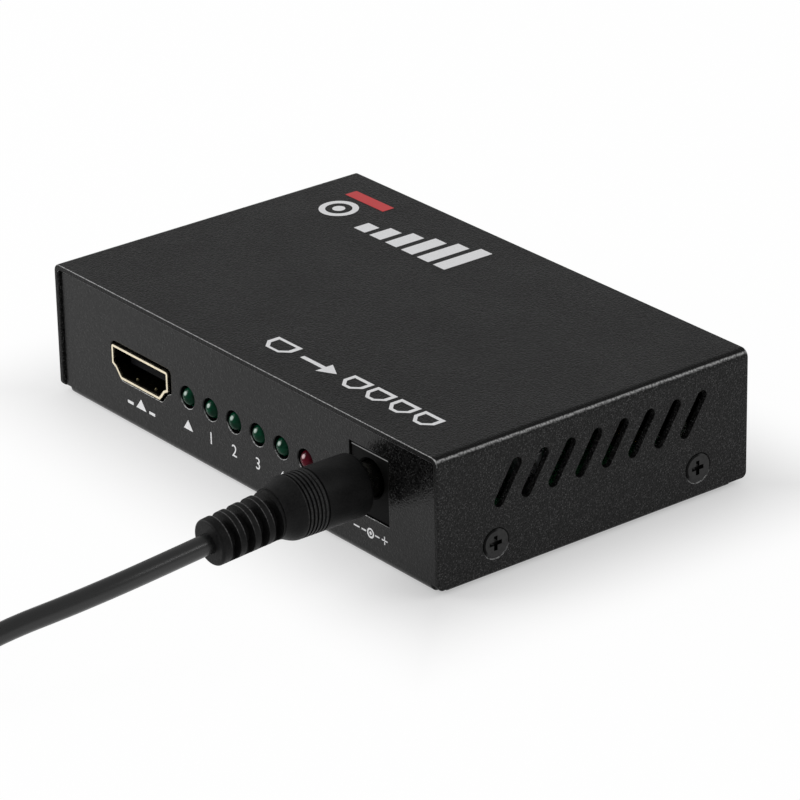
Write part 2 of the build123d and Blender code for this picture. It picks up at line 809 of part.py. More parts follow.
# Electrolytic capacitors on their square bases
capacitor_x, _ = on_board(capacitor_shares)
capacitor_y = jack_back_y + capacitor_behind_jack
capacitor_places = [(capacitor_x + side * capacitor_spacing / 2, capacitor_y) for side in (-1, 1)]
with BuildPart() as capacitor_bases:
    with BuildSketch(floor_plane(board_top)):
        with Locations(*capacitor_places):
            Rectangle(capacitor_base, capacitor_base)
        chamfer(vertices().group_by(Axis.Y)[-1], capacitor_corner)
    extrude(amount=capacitor_base_height)
save(capacitor_bases, "capacitor_bases")

with BuildPart() as capacitor_cans:
    with BuildSketch(floor_plane(board_top + capacitor_base_height)):
        with Locations(*capacitor_places):
            Circle(capacitor_diameter / 2)
    extrude(amount=capacitor_height - capacitor_base_height)
    fillet(edges().group_by(Axis.Z)[-1], chip_edge)
save(capacitor_cans, "capacitor_cans")

# Voltage regulators and their leads
regulator_x, regulator_y = on_board(regulator_shares)
regulator_places = [(regulator_x + side * regulator_spacing / 2, regulator_y) for side in (-1, 1)]
with BuildPart() as voltage_regulators:
    with BuildSketch(floor_plane(board_top)):
        with Locations(*regulator_places):
            Rectangle(regulator_length, regulator_width)
    extrude(amount=regulator_height)
    chamfer(edges().group_by(Axis.Z)[-1], chip_edge)
save(voltage_regulators, "voltage_regulators")

regulator_edge = (regulator_width + regulator_lead_length) / 2
with BuildPart() as regulator_leads:
    with BuildSketch(floor_plane(board_top)):
        for x, y in regulator_places:
            with Locations((x, y - regulator_edge)):
                with GridLocations(regulator_pitch, 0, 3, 1):
                    Rectangle(regulator_lead_width, regulator_lead_length)
            with Locations((x, y + regulator_edge)):
                Rectangle(regulator_tab_width, regulator_lead_length)
    extrude(amount=regulator_lead_thickness)
save(regulator_leads, "regulator_leads")

# Power inductor
inductor_place = (board_length * inductor_share, capacitor_y + inductor_behind_capacitors)
with BuildPart() as power_inductor:
    with BuildSketch(floor_plane(board_top)):
        with Locations(inductor_place):
            Rectangle(inductor_size, inductor_size)
        chamfer(vertices(), inductor_corner)
    extrude(amount=inductor_height)
    chamfer(edges().group_by(Axis.Z)[-1], inductor_pad)
save(power_inductor, "power_inductor")

# Guard arrays: two beside each socket's tails
guard_y = panel_y + socket_proud - socket_length - guard_distance
guard_places = [
    (x + side * guard_offset, end * guard_y)
    for x, end in [(input_x, -1)] + [(x, 1) for x in output_xs]
    for side in (-1, 1)
]
with BuildPart() as guard_arrays:
    with BuildSketch(floor_plane(board_top)):
        with Locations(*guard_places):
            Rectangle(guard_length, guard_width)
    extrude(amount=guard_height)
save(guard_arrays, "guard_arrays")

# Ceramic capacitors round the chip, and one row of resistors behind the lamps
with BuildPart() as ceramic_capacitors:
    with BuildSketch(floor_plane(board_top)):
        with Locations((-ceramic_distance, chip_y), (ceramic_distance, chip_y)):
            with GridLocations(0, ceramic_pitch, 1, ceramic_count):
                Rectangle(ceramic_length, ceramic_width)
        with Locations((0, chip_y - ceramic_distance)):
            with GridLocations(ceramic_pitch, 0, ceramic_count, 1):
                Rectangle(ceramic_width, ceramic_length)
    extrude(amount=ceramic_height)
save(ceramic_capacitors, "ceramic_capacitors")

with BuildPart() as chip_resistors:
    with BuildSketch(floor_plane(board_top)):
        with Locations(on_board(resistor_shares)):
            with GridLocations(resistor_pitch, 0, resistor_count, 1):
                Rectangle(ceramic_width, ceramic_length)
    extrude(amount=resistor_height)
save(chip_resistors, "chip_resistors")

# Power plug: outer barrel, insulating ring and inner sleeve on the inlet's axis
plug_back_y = jack_face_y - plug_gap
plug_root = front_plane(jack_x, -plug_back_y, jack_axis_z)
barrel_foot = plug_root.offset(barrel_hold)
barrel_total = barrel_length + barrel_hold
ring_outer = barrel_diameter / 2 - barrel_wall


def make_ring(name, outer, inner, tip_edge):
    """a hollow cylinder of the plug that ends at the barrel's tip"""
    with BuildPart() as ring:
        with BuildSketch(barrel_foot):
            Circle(outer)
            Circle(inner, mode=Mode.SUBTRACT)
        extrude(amount=-barrel_total)
        if tip_edge:
            chamfer(edges().group_by(Axis.Y)[-1].sort_by(SortBy.RADIUS)[-1], tip_edge)
    save(ring, name)


make_ring("plug_barrel", barrel_diameter / 2, ring_outer, barrel_edge)
make_ring("plug_insulator", ring_outer - press_gap, sleeve_diameter / 2 + press_gap, 0)
make_ring("plug_inner_sleeve", sleeve_diameter / 2, plug_hole_diameter / 2, 0)

# Moulded grip: straight part with fine grooves, a round shoulder, and a drooping strain relief
grip_radius = grip_diameter / 2
neck_radius = grip_neck_diameter / 2
grip_length = grip_straight + grip_shoulder
droop = radians(relief_droop)
relief_direction = Vector(0, -cos(droop), -sin(droop))
relief_start = Vector(jack_x, plug_back_y - grip_length + relief_sunk, jack_axis_z)
relief_plane = Plane(origin=relief_start, x_dir=(1, 0, 0), z_dir=relief_direction)
with BuildPart() as plug_grip:
    with BuildSketch(Plane(origin=(jack_x, plug_back_y, jack_axis_z), x_dir=(1, 0, 0), z_dir=(0, 0, -1))):
        with BuildLine():
            body = Polyline((0, grip_length), (0, 0), (grip_radius, 0), (grip_radius, grip_straight))
            shoulder = Spline(body @ 1, (neck_radius, grip_length), tangents=[(0, 1), (0, 1)])
            Line(shoulder @ 1, body @ 0)
        make_face()
    revolve(axis=Axis((jack_x, plug_back_y, jack_axis_z), (0, 1, 0)))
    fillet(edges().filter_by(GeomType.CIRCLE).group_by(Axis.Y)[-1], grip_edge_radius)
    with BuildSketch(relief_plane):
        Circle(relief_root_diameter / 2)
    with BuildSketch(relief_plane.offset(relief_length + relief_sunk)):
        Circle(relief_tip_diameter / 2)
    loft()
    fillet(edges().filter_by(GeomType.CIRCLE).group_by(Axis.Y)[0], relief_edge_radius)
    for step in range(relief_slot_count):
        with BuildSketch(relief_plane.offset(relief_slot_first + step * relief_slot_pitch)):
            Circle(relief_root_diameter / 2 + relief_web_drop)
            Circle(relief_core_diameter / 2, mode=Mode.SUBTRACT)
            with Locations((0, relief_web_drop - relief_tip_diameter / 2)):
                Rectangle(
                    relief_web_width,
                    relief_tip_diameter / 2,
                    align=(Align.CENTER, Align.MIN),
                    mode=Mode.SUBTRACT,
                )
        extrude(amount=relief_slot_width, mode=Mode.SUBTRACT)
    for step in range(groove_count):
        with BuildSketch(plug_root.offset(groove_start + step * groove_pitch)):
            Circle(grip_radius + overrun)
            Circle(grip_radius - groove_depth, mode=Mode.SUBTRACT)
        extrude(amount=groove_width, mode=Mode.SUBTRACT)
    with BuildSketch(plug_root):
        Circle(barrel_diameter / 2 + press_gap)
    extrude(amount=barrel_hold, mode=Mode.SUBTRACT)
save(plug_grip, "plug_grip")

# Where the lead leaves the strain relief, and which way it points there
cord_exit = relief_start + relief_direction * (relief_length + relief_sunk)

# The coil: in on the lower layer, up in the half turn at the middle, out on the upper layer
coil_pitch = cord_diameter + coil_gap
coil_base = tie_thickness + tie_lift + cord_radius
coil_outer_radius = coil_inner_radius + coil_pitch * coil_half_turns
coil_start = Vector(coil_start_x, coil_start_y, coil_base)
heading = Vector(cos(radians(coil_heading)), sin(radians(coil_heading)), 0)
start_slant = atan2(coil_pitch, 2 * pi * coil_outer_radius)
start_angle = radians(coil_heading) + pi / 2 + start_slant
coil_middle = (
    coil_start + heading * cord_diameter - Vector(cos(start_angle), sin(start_angle), 0) * coil_outer_radius
)


def coil_state(turn):
    """radius, its rate, height and its rate after so many turns

    The radius falls and then rises by one pitch a turn, rounded off by a parabola in the middle
    half turn, in which the height climbs one pitch along half a cosine wave.
    """
    past = turn - coil_half_turns
    climb = coil_climb_share
    if past < -climb:
        return coil_inner_radius - coil_pitch * past, -coil_pitch, coil_base, 0
    if past > climb:
        return coil_inner_radius + coil_pitch * past, coil_pitch, coil_base + coil_pitch, 0
    radius = coil_inner_radius + coil_pitch * (past * past / climb + climb) / 2
    wave = pi * (past + climb) / (2 * climb)
    height = coil_base + coil_pitch * (1 - cos(wave)) / 2
    return radius, coil_pitch * past / climb, height, coil_pitch * sin(wave) * pi / (4 * climb)


def coil_point(turn):
    radius, _, height, _ = coil_state(turn)
    angle = start_angle - 2 * pi * turn
    return Vector(coil_middle.X + radius * cos(angle), coil_middle.Y + radius * sin(angle), height)


def coil_tangent(turn):
    radius, radius_rate, _, height_rate = coil_state(turn)
    angle = start_angle - 2 * pi * turn
    outwards = Vector(cos(angle), sin(angle), 0)
    onwards = Vector(sin(angle), -cos(angle), 0)
    return (outwards * radius_rate + onwards * (2 * pi * radius) + Vector(0, 0, height_rate)).normalized()


def draw_biarc(start, start_tangent, end, end_tangent):
    """two arcs that leave start and reach end along the tangents and meet smoothly halfway"""
    chord = end - start
    both = start_tangent + end_tangent
    square = 2 * (1 - start_tangent.dot(end_tangent))
    along = chord.dot(both)
    length = (((along * along + square * chord.dot(chord)) ** 0.5) - along) / square
    first_corner = start + start_tangent * length
    last_corner = end - end_tangent * length
    middle = (first_corner + last_corner) / 2
    TangentArc(start, middle, tangent=start_tangent)
    TangentArc(middle, end, tangent=last_corner - first_corner)


def report_tube(name, builder, length):
    ratio = builder.part.volume / (pi * cord_radius**2 * length)
    print(f"{name}: length {length:.1f} mm, volume over section times length {ratio:.4f}")


coil_turns = 2 * coil_half_turns
coil_steps = round(coil_turns * 4)
with BuildPart() as cord_coil:
    with BuildLine() as coil_line:
        Line(coil_start, coil_start + heading * cord_diameter)
        for step in range(coil_steps):
            turn, after = coil_turns * step / coil_steps, coil_turns * (step + 1) / coil_steps
            draw_biarc(coil_point(turn), coil_tangent(turn), coil_point(after), coil_tangent(after))
        coil_end = coil_point(coil_turns) + coil_tangent(coil_turns) * cord_diameter
        Line(coil_point(coil_turns), coil_end)
    with BuildSketch(Plane(origin=coil_start, z_dir=heading)):
        Circle(cord_radius)
    sweep()
save(cord_coil, "cord_coil")
coil_length = sum(edge.length for edge in coil_line.edges())
report_tube("coil", cord_coil, coil_length)


def least_coil_gap():
    """smallest distance between two turns, less one cord, on points along the formula"""
    points_per_turn = 72
    count = round(coil_turns * points_per_turn)
    points = [coil_point(coil_turns * number / count) for number in range(count + 1)]
    skip = points_per_turn // 3
    pairs = ((a, b) for i, a in enumerate(points) for b in points[i + skip :])
    return min(hypot(a.X - b.X, a.Y - b.Y, a.Z - b.Z) for a, b in pairs) - cord_diameter


print(f"least gap in the coil {least_coil_gap():.2f} mm")


def corner_radii(points):
    """0.45 of the shorter run beside each corner, over the tangent of half its turn"""
    radii = []
    for before, corner, after in zip(points, points[1:], points[2:]):
        turn = (corner - before).get_angle(after - corner)
        shorter = min((corner - before).length, (after - corner).length)
        radii.append(0.45 * shorter / tan(radians(turn / 2)))
    return radii


def make_cord(name, points):
    """a round tube along straight runs that tangent arcs join"""
    radii = corner_radii(points)
    print(f"{name} radii in diameters", [round(radius / cord_diameter, 1) for radius in radii])
    with BuildPart() as cord:
        with BuildLine() as line:
            FilletPolyline(*points, radius=radii)
        with BuildSketch(Plane(origin=points[0], z_dir=points[1] - points[0])):
            Circle(cord_radius)
        sweep()
    save(cord, name)
    length = sum(edge.length for edge in line.edges())
    report_tube(name, cord, length)
    return length


# Shown stretch of the lead: straight out of the relief, then down and aside to the coil
cord_span = coil_start - cord_exit
cord_corners = [
    cord_exit + Vector(cord_span.X * across, cord_span.Y * along, cord_span.Z * down)
    for across, along, down in cord_shares
]
cord_points = [
    cord_exit,
    cord_exit + relief_direction * cord_straight,
    *cord_corners,
    coil_start - heading * coil_lead_in,
    coil_start,
]
cord_length = make_cord("power_cord", cord_points)

# Tail from the coil's upper layer down to the middle height of the far plug
tail_heading = coil_tangent(coil_turns)
far_axis_z = far_grip_thickness / 2
tail_drop = Vector(0, 0, far_axis_z - coil_end.Z)
tail_points = [
    coil_end,
    coil_end + tail_heading * tail_straight,
    coil_end + tail_heading * (tail_straight + tail_fall_run) + tail_drop,
    coil_end + tail_heading * (2 * tail_straight + tail_fall_run) + tail_drop,
]
tail_length = make_cord("cord_tail", tail_points)
print(f"whole lead {cord_length + coil_length + tail_length:.0f} mm")

# Tie round the coil's turns, on the side away from both of its ends
tie_angle = start_angle + pi
tie_inner = coil_inner_radius - cord_radius - tie_gap
tie_outer = coil_outer_radius + cord_radius + tie_gap
tie_inner_width = tie_outer - tie_inner
tie_inner_height = coil_pitch + cord_diameter + 2 * tie_lift
tie_radial = Vector(cos(tie_angle), sin(tie_angle), 0)
tie_centre = coil_middle + tie_radial * ((tie_inner + tie_outer) / 2)
tie_plane = Plane(
    origin=(tie_centre.X, tie_centre.Y, tie_thickness + tie_inner_height / 2),
    x_dir=tie_radial,
    z_dir=(sin(tie_angle), -cos(tie_angle), 0),
)
with BuildPart() as cord_tie:
    with BuildSketch(tie_plane):
        RectangleRounded(
            tie_inner_width + 2 * tie_thickness,
            tie_inner_height + 2 * tie_thickness,
            tie_corner_radius + tie_thickness,
        )
        RectangleRounded(tie_inner_width, tie_inner_height, tie_corner_radius, mode=Mode.SUBTRACT)
    extrude(amount=tie_width / 2, both=True)
save(cord_tie, "cord_tie")

# Far plug, lying flat on the same surface: moulded grip, steel shell, tongue and four contacts
far_root = Plane(origin=tail_points[-1], x_dir=(tail_heading.Y, -tail_heading.X, 0), z_dir=tail_heading)
far_grip_start = far_root.offset(far_relief_length)
far_mouth = far_grip_start.offset(far_grip_length + far_shell_length)
with BuildPart() as far_plug_grip:
    with BuildSketch(far_grip_start):
        RectangleRounded(far_grip_width, far_grip_thickness, far_grip_corner_radius)
    extrude(amount=far_grip_length)
    fillet(faces().sort_by(Axis(far_root.origin, far_root.z_dir))[-1].edges(), far_grip_edge_radius)
    with BuildSketch(far_root):
        Circle(cord_radius + far_shell_wall)
    with BuildSketch(far_grip_start):
        RectangleRounded(far_grip_width - far_grip_corner_radius, far_grip_thickness, far_grip_corner_radius)
    loft()
    with BuildSketch(far_mouth.offset(-far_shell_length - far_shell_hold)):
        Rectangle(far_shell_width + 2 * press_gap, far_shell_height + 2 * press_gap)
        fillet(vertices(), far_shell_corner_radius)
    extrude(amount=far_shell_hold + overrun, mode=Mode.SUBTRACT)
save(far_plug_grip, "far_plug_grip")

with BuildPart() as far_plug_shell:
    with BuildSketch(far_mouth):
        Rectangle(far_shell_width, far_shell_height)
        fillet(vertices(), far_shell_corner_radius)
        Rectangle(
            far_shell_width - 2 * far_shell_wall, far_shell_height - 2 * far_shell_wall, mode=Mode.SUBTRACT
        )
    extrude(amount=-far_shell_length - far_shell_hold)
    window = Plane(
        origin=far_mouth.from_local_coords((0, far_shell_height / 2, -far_window_start)),
        x_dir=far_mouth.x_dir,
        z_dir=far_mouth.y_dir,
    )
    with BuildSketch(window):
        with GridLocations(far_window_spacing, 0, 2, 1):
            Rectangle(far_window_width, far_window_length)
    extrude(amount=far_shell_height, both=True, mode=Mode.SUBTRACT)
save(far_plug_shell, "far_plug_shell")

far_inner_width = far_shell_width - 2 * (far_shell_wall + press_gap)
far_inner_half_height = far_shell_height / 2 - far_shell_wall - press_gap
far_tongue_top = far_tongue_thickness - far_inner_half_height
with BuildPart() as far_plug_insulator:
    with BuildSketch(far_mouth.offset(-far_tongue_recess)):
        with Locations((0, -far_inner_half_height)):
            Rectangle(far_inner_width, far_tongue_thickness, align=(Align.CENTER, Align.MIN))
    extrude(amount=far_tongue_recess - far_shell_length - far_shell_hold)
    with BuildSketch(far_mouth.offset(-far_shell_length)):
        Rectangle(far_inner_width, 2 * far_inner_half_height)
    extrude(amount=-far_shell_hold)
save(far_plug_insulator, "far_plug_insulator")

with BuildPart() as far_plug_contacts:
    with BuildSketch(far_mouth.offset(-far_contact_recess)):
        with Locations((0, far_tongue_top)):
            with GridLocations(far_contact_pitch, 0, far_contact_count, 1):
                Rectangle(far_contact_width, far_contact_thickness, align=(Align.CENTER, Align.MIN))
    extrude(amount=far_contact_recess - far_shell_length)
save(far_plug_contacts, "far_plug_contacts")
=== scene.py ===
"""Looks of a signal splitter box with its power plug and lead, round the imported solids.

X runs along the front, Y to the rear and Z up, from an origin under the middle of the box. Numbers
below are millimetres unless they say otherwise, and MM turns them into Blender's metres.
"""
import json
from math import atan2, cos, pi, radians, sin

import bmesh
import bpy
import numpy as np
from mathutils import Matrix, Vector


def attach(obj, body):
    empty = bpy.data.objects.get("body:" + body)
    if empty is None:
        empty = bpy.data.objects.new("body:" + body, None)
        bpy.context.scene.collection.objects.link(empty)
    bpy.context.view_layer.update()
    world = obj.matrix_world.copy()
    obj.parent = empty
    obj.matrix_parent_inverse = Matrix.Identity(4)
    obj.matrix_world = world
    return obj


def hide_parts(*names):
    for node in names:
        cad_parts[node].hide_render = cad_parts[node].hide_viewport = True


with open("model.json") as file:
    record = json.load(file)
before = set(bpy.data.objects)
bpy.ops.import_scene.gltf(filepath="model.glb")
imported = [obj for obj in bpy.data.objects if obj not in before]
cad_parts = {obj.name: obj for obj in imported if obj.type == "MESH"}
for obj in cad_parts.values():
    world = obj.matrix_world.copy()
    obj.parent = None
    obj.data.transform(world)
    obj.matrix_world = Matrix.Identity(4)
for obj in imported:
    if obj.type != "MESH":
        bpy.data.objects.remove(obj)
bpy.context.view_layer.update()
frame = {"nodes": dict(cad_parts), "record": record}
nodes = frame["nodes"]
MM = 0.001

# Camera: stands off the front right corner and looks down on the box, distances in metres
CAMERA_PLACE = (0.50790, -0.39307, 0.29794)
LENS, SENSOR_WIDTH = 197.43, 36
NEAREST, FARTHEST = 0.02, 20
azimuth, elevation, roll = radians(52.1755), radians(24.4307), radians(-1.2037)

flat_right = Vector((cos(azimuth), sin(azimuth), 0))
flat_up = Vector((-sin(azimuth) * sin(elevation), cos(azimuth) * sin(elevation), cos(elevation)))
backwards = Vector((sin(azimuth) * cos(elevation), -cos(azimuth) * cos(elevation), sin(elevation)))
rightwards = flat_right * cos(roll) + flat_up * sin(roll)
upwards = flat_up * cos(roll) - flat_right * sin(roll)

camera_data = bpy.data.cameras.new("view")
camera_data.sensor_width = SENSOR_WIDTH
camera_data.lens = LENS
camera_data.clip_start = NEAREST
camera_data.clip_end = FARTHEST
camera = bpy.data.objects.new("view", camera_data)
turn = Matrix((rightwards, upwards, backwards)).transposed().to_4x4()
camera.matrix_world = Matrix.Translation(CAMERA_PLACE) @ turn
bpy.context.scene.collection.objects.link(camera)
bpy.context.scene.camera = camera

# The case, and the forms on it that the finishes and marks follow
CASE_LENGTH, CASE_DEPTH, CASE_HEIGHT = 100.0, 62.0, 22.9
PANEL_Y = 30.5
LAMP_FIRST_X, LAMP_PITCH, LAMP_COUNT = -14.2, 6.2, 6
OUTPUT_PITCH = 23.0
SCREW_MIDDLE_Y, SCREW_SPACING, SCREW_Z = 0.4, 40.6, 5.7

# The plug: where its grip begins behind the inlet, its relief and how far that droops
PLUG_BACK_Y = -33.2
RELIEF_START = (32.85, -47.6, 13.5)
RELIEF_LENGTH = 12.9
GROOVE_FIRST, GROOVE_PITCH, GROOVE_WIDTH, GROOVES_END = 8.4, 0.72, 0.35, 12.5
SLOT_FIRST, SLOT_PITCH, SLOT_WIDTH, SLOTS_END = 1.9, 2.6, 1.5, 11.5
droop = radians(5.3)


class Nodes:
    """A tree of shader nodes that are joined one call at a time."""

    def __init__(self, tree):
        self.tree = tree

    def node(self, kind, **settings):
        made = self.tree.nodes.new(f"ShaderNode{kind}")
        for name, value in settings.items():
            setattr(made, name, value)
        return made

    def put(self, socket, value):
        """a number, a colour or another node's output goes into the socket"""
        if isinstance(value, bpy.types.NodeSocket):
            self.tree.links.new(value, socket)
        else:
            socket.default_value = value

    def place(self, source="Object", scale=(1, 1, 1)):
        """the place in the object's own frame or on its UV, each axis times its scale"""
        mapping = self.node("Mapping")
        mapping.inputs["Scale"].default_value = scale
        self.put(mapping.inputs["Vector"], self.node("TexCoord").outputs[source])
        return mapping.outputs["Vector"]

    def facing(self):
        """the surface's own normal, as an arrow"""
        return self.node("NewGeometry").outputs["Normal"]

    def noise(self, where, grain, detail=2.0):
        """fractal noise whose grain is that many millimetres wide"""
        made = self.node("TexNoise")
        self.put(made.inputs["Vector"], where)
        made.inputs["Scale"].default_value = 1 / (grain * MM)
        made.inputs["Detail"].default_value = detail
        return made.outputs["Fac"]

    def cells(self, where, grain):
        """random grey of each cell of a Voronoi pattern, and the distance from its middle"""
        made = self.node("TexVoronoi")
        self.put(made.inputs["Vector"], where)
        made.inputs["Scale"].default_value = 1 / (grain * MM)
        return made.outputs["Color"], made.outputs["Distance"]

    def span(self, value, low, high, onto_low=0.0, onto_high=1.0, kind="LINEAR"):
        """the value's stretch from low to high, laid onto another stretch and clamped there"""
        made = self.node("MapRange", interpolation_type=kind)
        self.put(made.inputs["Value"], value)
        limits = {"From Min": low, "From Max": high, "To Min": onto_low, "To Max": onto_high}
        for socket, number in limits.items():
            made.inputs[socket].default_value = number
        return made.outputs["Result"]

    def rise(self, value, start, width):
        """nothing up to start, then up to one over that width, both in millimetres"""
        return self.span(value, start * MM, (start + width) * MM)

    def fall(self, value, start, width):
        """one up to start, then down to nothing over that width, both in millimetres"""
        return self.span(value, start * MM, (start + width) * MM, 1.0, 0.0)

    def window(self, value, low, high, edge=0.02):
        """one between two limits in millimetres, and nothing past an edge outside them"""
        return self.product(self.rise(value, low - edge, edge), self.fall(value, high, edge))

    def axes(self, vector):
        """the vector's three numbers"""
        made = self.node("SeparateXYZ")
        self.put(made.inputs["Vector"], vector)
        return made.outputs

    def math(self, operation, first, second=0.0):
        made = self.node("Math", operation=operation)
        self.put(made.inputs[0], first)
        self.put(made.inputs[1], second)
        return made.outputs["Value"]

    def size(self, value):
        """the number without its sign"""
        return self.math("ABSOLUTE", value)

    def product(self, first, *others):
        for other in others:
            first = self.math("MULTIPLY", first, other)
        return first

    def greatest(self, first, *others):
        for other in others:
            first = self.math("MAXIMUM", first, other)
        return first

    def blend(self, share, first, second):
        """colour that goes from first to second with the share"""
        made = self.node("Mix", data_type="RGBA")
        colour_a, colour_b = (socket for socket in made.inputs if socket.type == "RGBA")
        self.put(made.inputs["Factor"], share)
        self.put(colour_a, first)
        self.put(colour_b, second)
        return next(socket for socket in made.outputs if socket.type == "RGBA")


class Finish(Nodes):
    """A material and the nodes that feed its main shader."""

    def __init__(self, name, **sockets):
        self.material = bpy.data.materials.new(name)
        self.material.use_nodes = True
        super().__init__(self.material.node_tree)
        self.shader = self.tree.nodes["Principled BSDF"]
        for socket, value in sockets.items():
            self.shader.inputs[socket.replace("_", " ")].default_value = value
        self.material.diffuse_color = self.shader.inputs["Base Color"].default_value

    def bump(self, height, depth):
        """the height, times so many millimetres, tilts the surface"""
        made = self.node("Bump")
        made.inputs["Distance"].default_value = depth * MM
        self.put(made.inputs["Height"], height)
        self.put(self.shader.inputs["Normal"], made.outputs["Normal"])

    def colour(self, value):
        self.put(self.shader.inputs["Base Color"], value)

    def rough(self, value):
        self.put(self.shader.inputs["Roughness"], value)


def grey(value, warmth=0.0):
    """a grey, with more red and less blue by the warmth"""
    return (value * (1 + warmth), value, value * (1 - warmth), 1)


def shaded(tone, share):
    """the tone times one share, or times a share for each channel"""
    return (*np.multiply(tone, share), 1)


# Farther from the middle and higher than any part of the case
NOWHERE = 40.0


def powder_coat(
    name, tone, fleck_tone, rubbed_tone, gloss, roughness, relief, rim_y,
    cut_y=NOWHERE, fold_z=NOWHERE, crest_z=NOWHERE,
):
    """fine pimpled black coat with bright flecks, painted highlights and shade at the sheet's
    corners

    A rim is past rim_y from the middle, a cut end of the sheet past cut_y and a fold above fold_z.
    Painted highlights lie on rims, most where they face up, on the lower half of a fold, on the
    lower wall of a countersink and on a crest, the top of an upright face above crest_z. Painted
    shade lies on the upper half of a fold and the upper wall of a countersink, and the same dark
    goes on a cut end. A flat top shows the grain least.
    """
    pimple_grain, fleck_grain, cloud_grain = 0.34, 0.27, 9.0
    fleck_share, shade_share, lip_highlight_share, cloud_share, dome_share = 0.75, 0.85, 0.6, 0.3, 0.3
    screw_top_z, screw_reach_y = 9.0, 28.0

    made = Finish(name, Base_Color=grey(tone), Roughness=roughness, Specular_IOR_Level=gloss)
    where = made.place()
    _, y, z = made.axes(where)
    facing = made.axes(made.facing())
    nx, ny, nz = (made.size(axis) for axis in facing)
    depth = made.size(y)

    pimples = made.noise(where, pimple_grain, 1.0)
    cloud = made.noise(where, cloud_grain)
    random_grey, distance = made.cells(where, fleck_grain)
    dome = made.span(distance, 0.15, 0.5, 1.0, 0.0)
    fleck = made.product(made.span(random_grey, 0.3, 0.85), dome)
    upright = made.span(nz, 0.5, 0.9, 1.0, 0.25)
    pimpled = made.product(upright, made.span(pimples, 0.4, 0.62))
    base = made.blend(pimpled, grey(tone * 0.45), grey(tone * 2.0))
    coat = made.blend(made.product(fleck, upright, fleck_share), base, grey(fleck_tone))

    turned = made.span(made.greatest(nx, ny, nz), 0.8, 0.95, 1.0, 0.0)
    facing_up = made.span(facing[2], 0.1, 0.5)
    squarely = made.span(ny, 0.9, 0.98)
    past_rim = made.rise(depth, rim_y, 0.03)
    rim = made.product(turned, past_rim, facing_up)
    fold = made.rise(z, fold_z, 0.05)
    lower_half = made.product(fold, made.span(nx, 0.62, 0.72), made.span(nx, 0.78, 0.9, 1.0, 0.0))
    upper_half = made.product(fold, made.span(nz, 0.7, 0.85), made.span(nz, 0.94, 0.995, 1.0, 0.0))
    by_screws = made.product(made.fall(z, screw_top_z, 0.2), made.fall(depth, screw_reach_y, 0.2))
    countersink = made.product(turned, by_screws)
    cut = made.product(made.rise(depth, cut_y, 0.02), squarely)
    lip_highlight = made.product(countersink, facing_up, lip_highlight_share)
    crest = made.product(made.rise(z, crest_z, 0.04), past_rim, squarely)

    # painted shade on the upper half of a fold and the upper wall of a countersink, the same dark
    # on a cut end
    shade = made.greatest(countersink, upper_half, cut)
    coat = made.blend(made.product(shade, shade_share), coat, grey(tone * 0.1))
    patchy = made.span(pimples, 0.38, 0.58, 0.3, 1.0)
    # painted highlight on rims, the lower half of a fold, a countersink's lower lip and a crest,
    # patchy with the pimples
    painted_highlight = made.greatest(lip_highlight, rim, lower_half, crest)
    made.colour(made.blend(made.product(painted_highlight, patchy), coat, grey(rubbed_tone)))
    uneven = made.math("ADD", pimples, made.product(cloud, cloud_share))
    made.rough(made.span(uneven, 0.35, 0.95, roughness * 0.8, roughness * 1.2))
    made.bump(made.math("ADD", pimples, made.product(dome, dome_share)), relief)
    return made.material


def grip_rubber(name, tone, rubbed_tone):
    """soft moulded grip: fine grain, and a painted highlight along the edges of its rings and
    grooves

    Rings and grooves repeat along the plug, so an edge is a narrow part of the distance past the
    first one, taken modulo their pitch.
    """
    coolness, ridge_share = -0.04, 0.45
    made = Finish(name, Base_Color=grey(tone, coolness), Roughness=0.5, Specular_IOR_Level=0.1)
    where = made.place()
    facing_z = made.axes(made.facing())[2]
    _, y, z = made.axes(where)
    back = made.math("SUBTRACT", PLUG_BACK_Y * MM, y)
    along = made.math(
        "ADD",
        made.product(made.math("SUBTRACT", RELIEF_START[1] * MM, y), cos(droop)),
        made.product(made.math("SUBTRACT", RELIEF_START[2] * MM, z), sin(droop)),
    )

    groove = made.math("MODULO", made.math("SUBTRACT", back, GROOVE_FIRST * MM), GROOVE_PITCH * MM)
    ridge = made.product(
        made.rise(groove, GROOVE_WIDTH - 0.01, 0.04),
        made.rise(back, GROOVE_FIRST - 0.1, 0.05),
        made.fall(back, GROOVES_END, 0.05),
        made.span(made.size(facing_z), 0.0, 0.9, 1.0, 0.4),
    )
    slot = made.math("MODULO", made.math("SUBTRACT", along, SLOT_FIRST * MM), SLOT_PITCH * MM)
    ring_edges = made.greatest(
        made.rise(slot, SLOT_PITCH - 0.18, 0.08), made.window(slot, SLOT_WIDTH, SLOT_WIDTH + 0.16)
    )
    edge = made.product(
        ring_edges,
        made.rise(along, SLOT_FIRST, 0.1),
        made.fall(along, SLOTS_END, 0.1),
        made.span(facing_z, 0.0, 0.7),
    )

    skin = made.noise(where, 0.28)
    cloud = made.noise(where, 4.0)
    mottle = made.span(made.math("ADD", skin, cloud), 0.8, 1.2)
    base = made.blend(mottle, grey(tone * 0.6, coolness), grey(tone * 1.6))
    patchy = made.span(skin, 0.4, 0.6, 0.4, 1.0)
    # painted highlight on the groove ridges and on the ring edges that face up
    painted_highlight = made.product(made.greatest(made.product(ridge, ridge_share), edge), patchy)
    made.colour(made.blend(painted_highlight, base, grey(rubbed_tone)))
    made.rough(made.span(skin, 0.3, 0.7, 0.42, 0.58))
    made.bump(skin, 0.04)
    return made.material


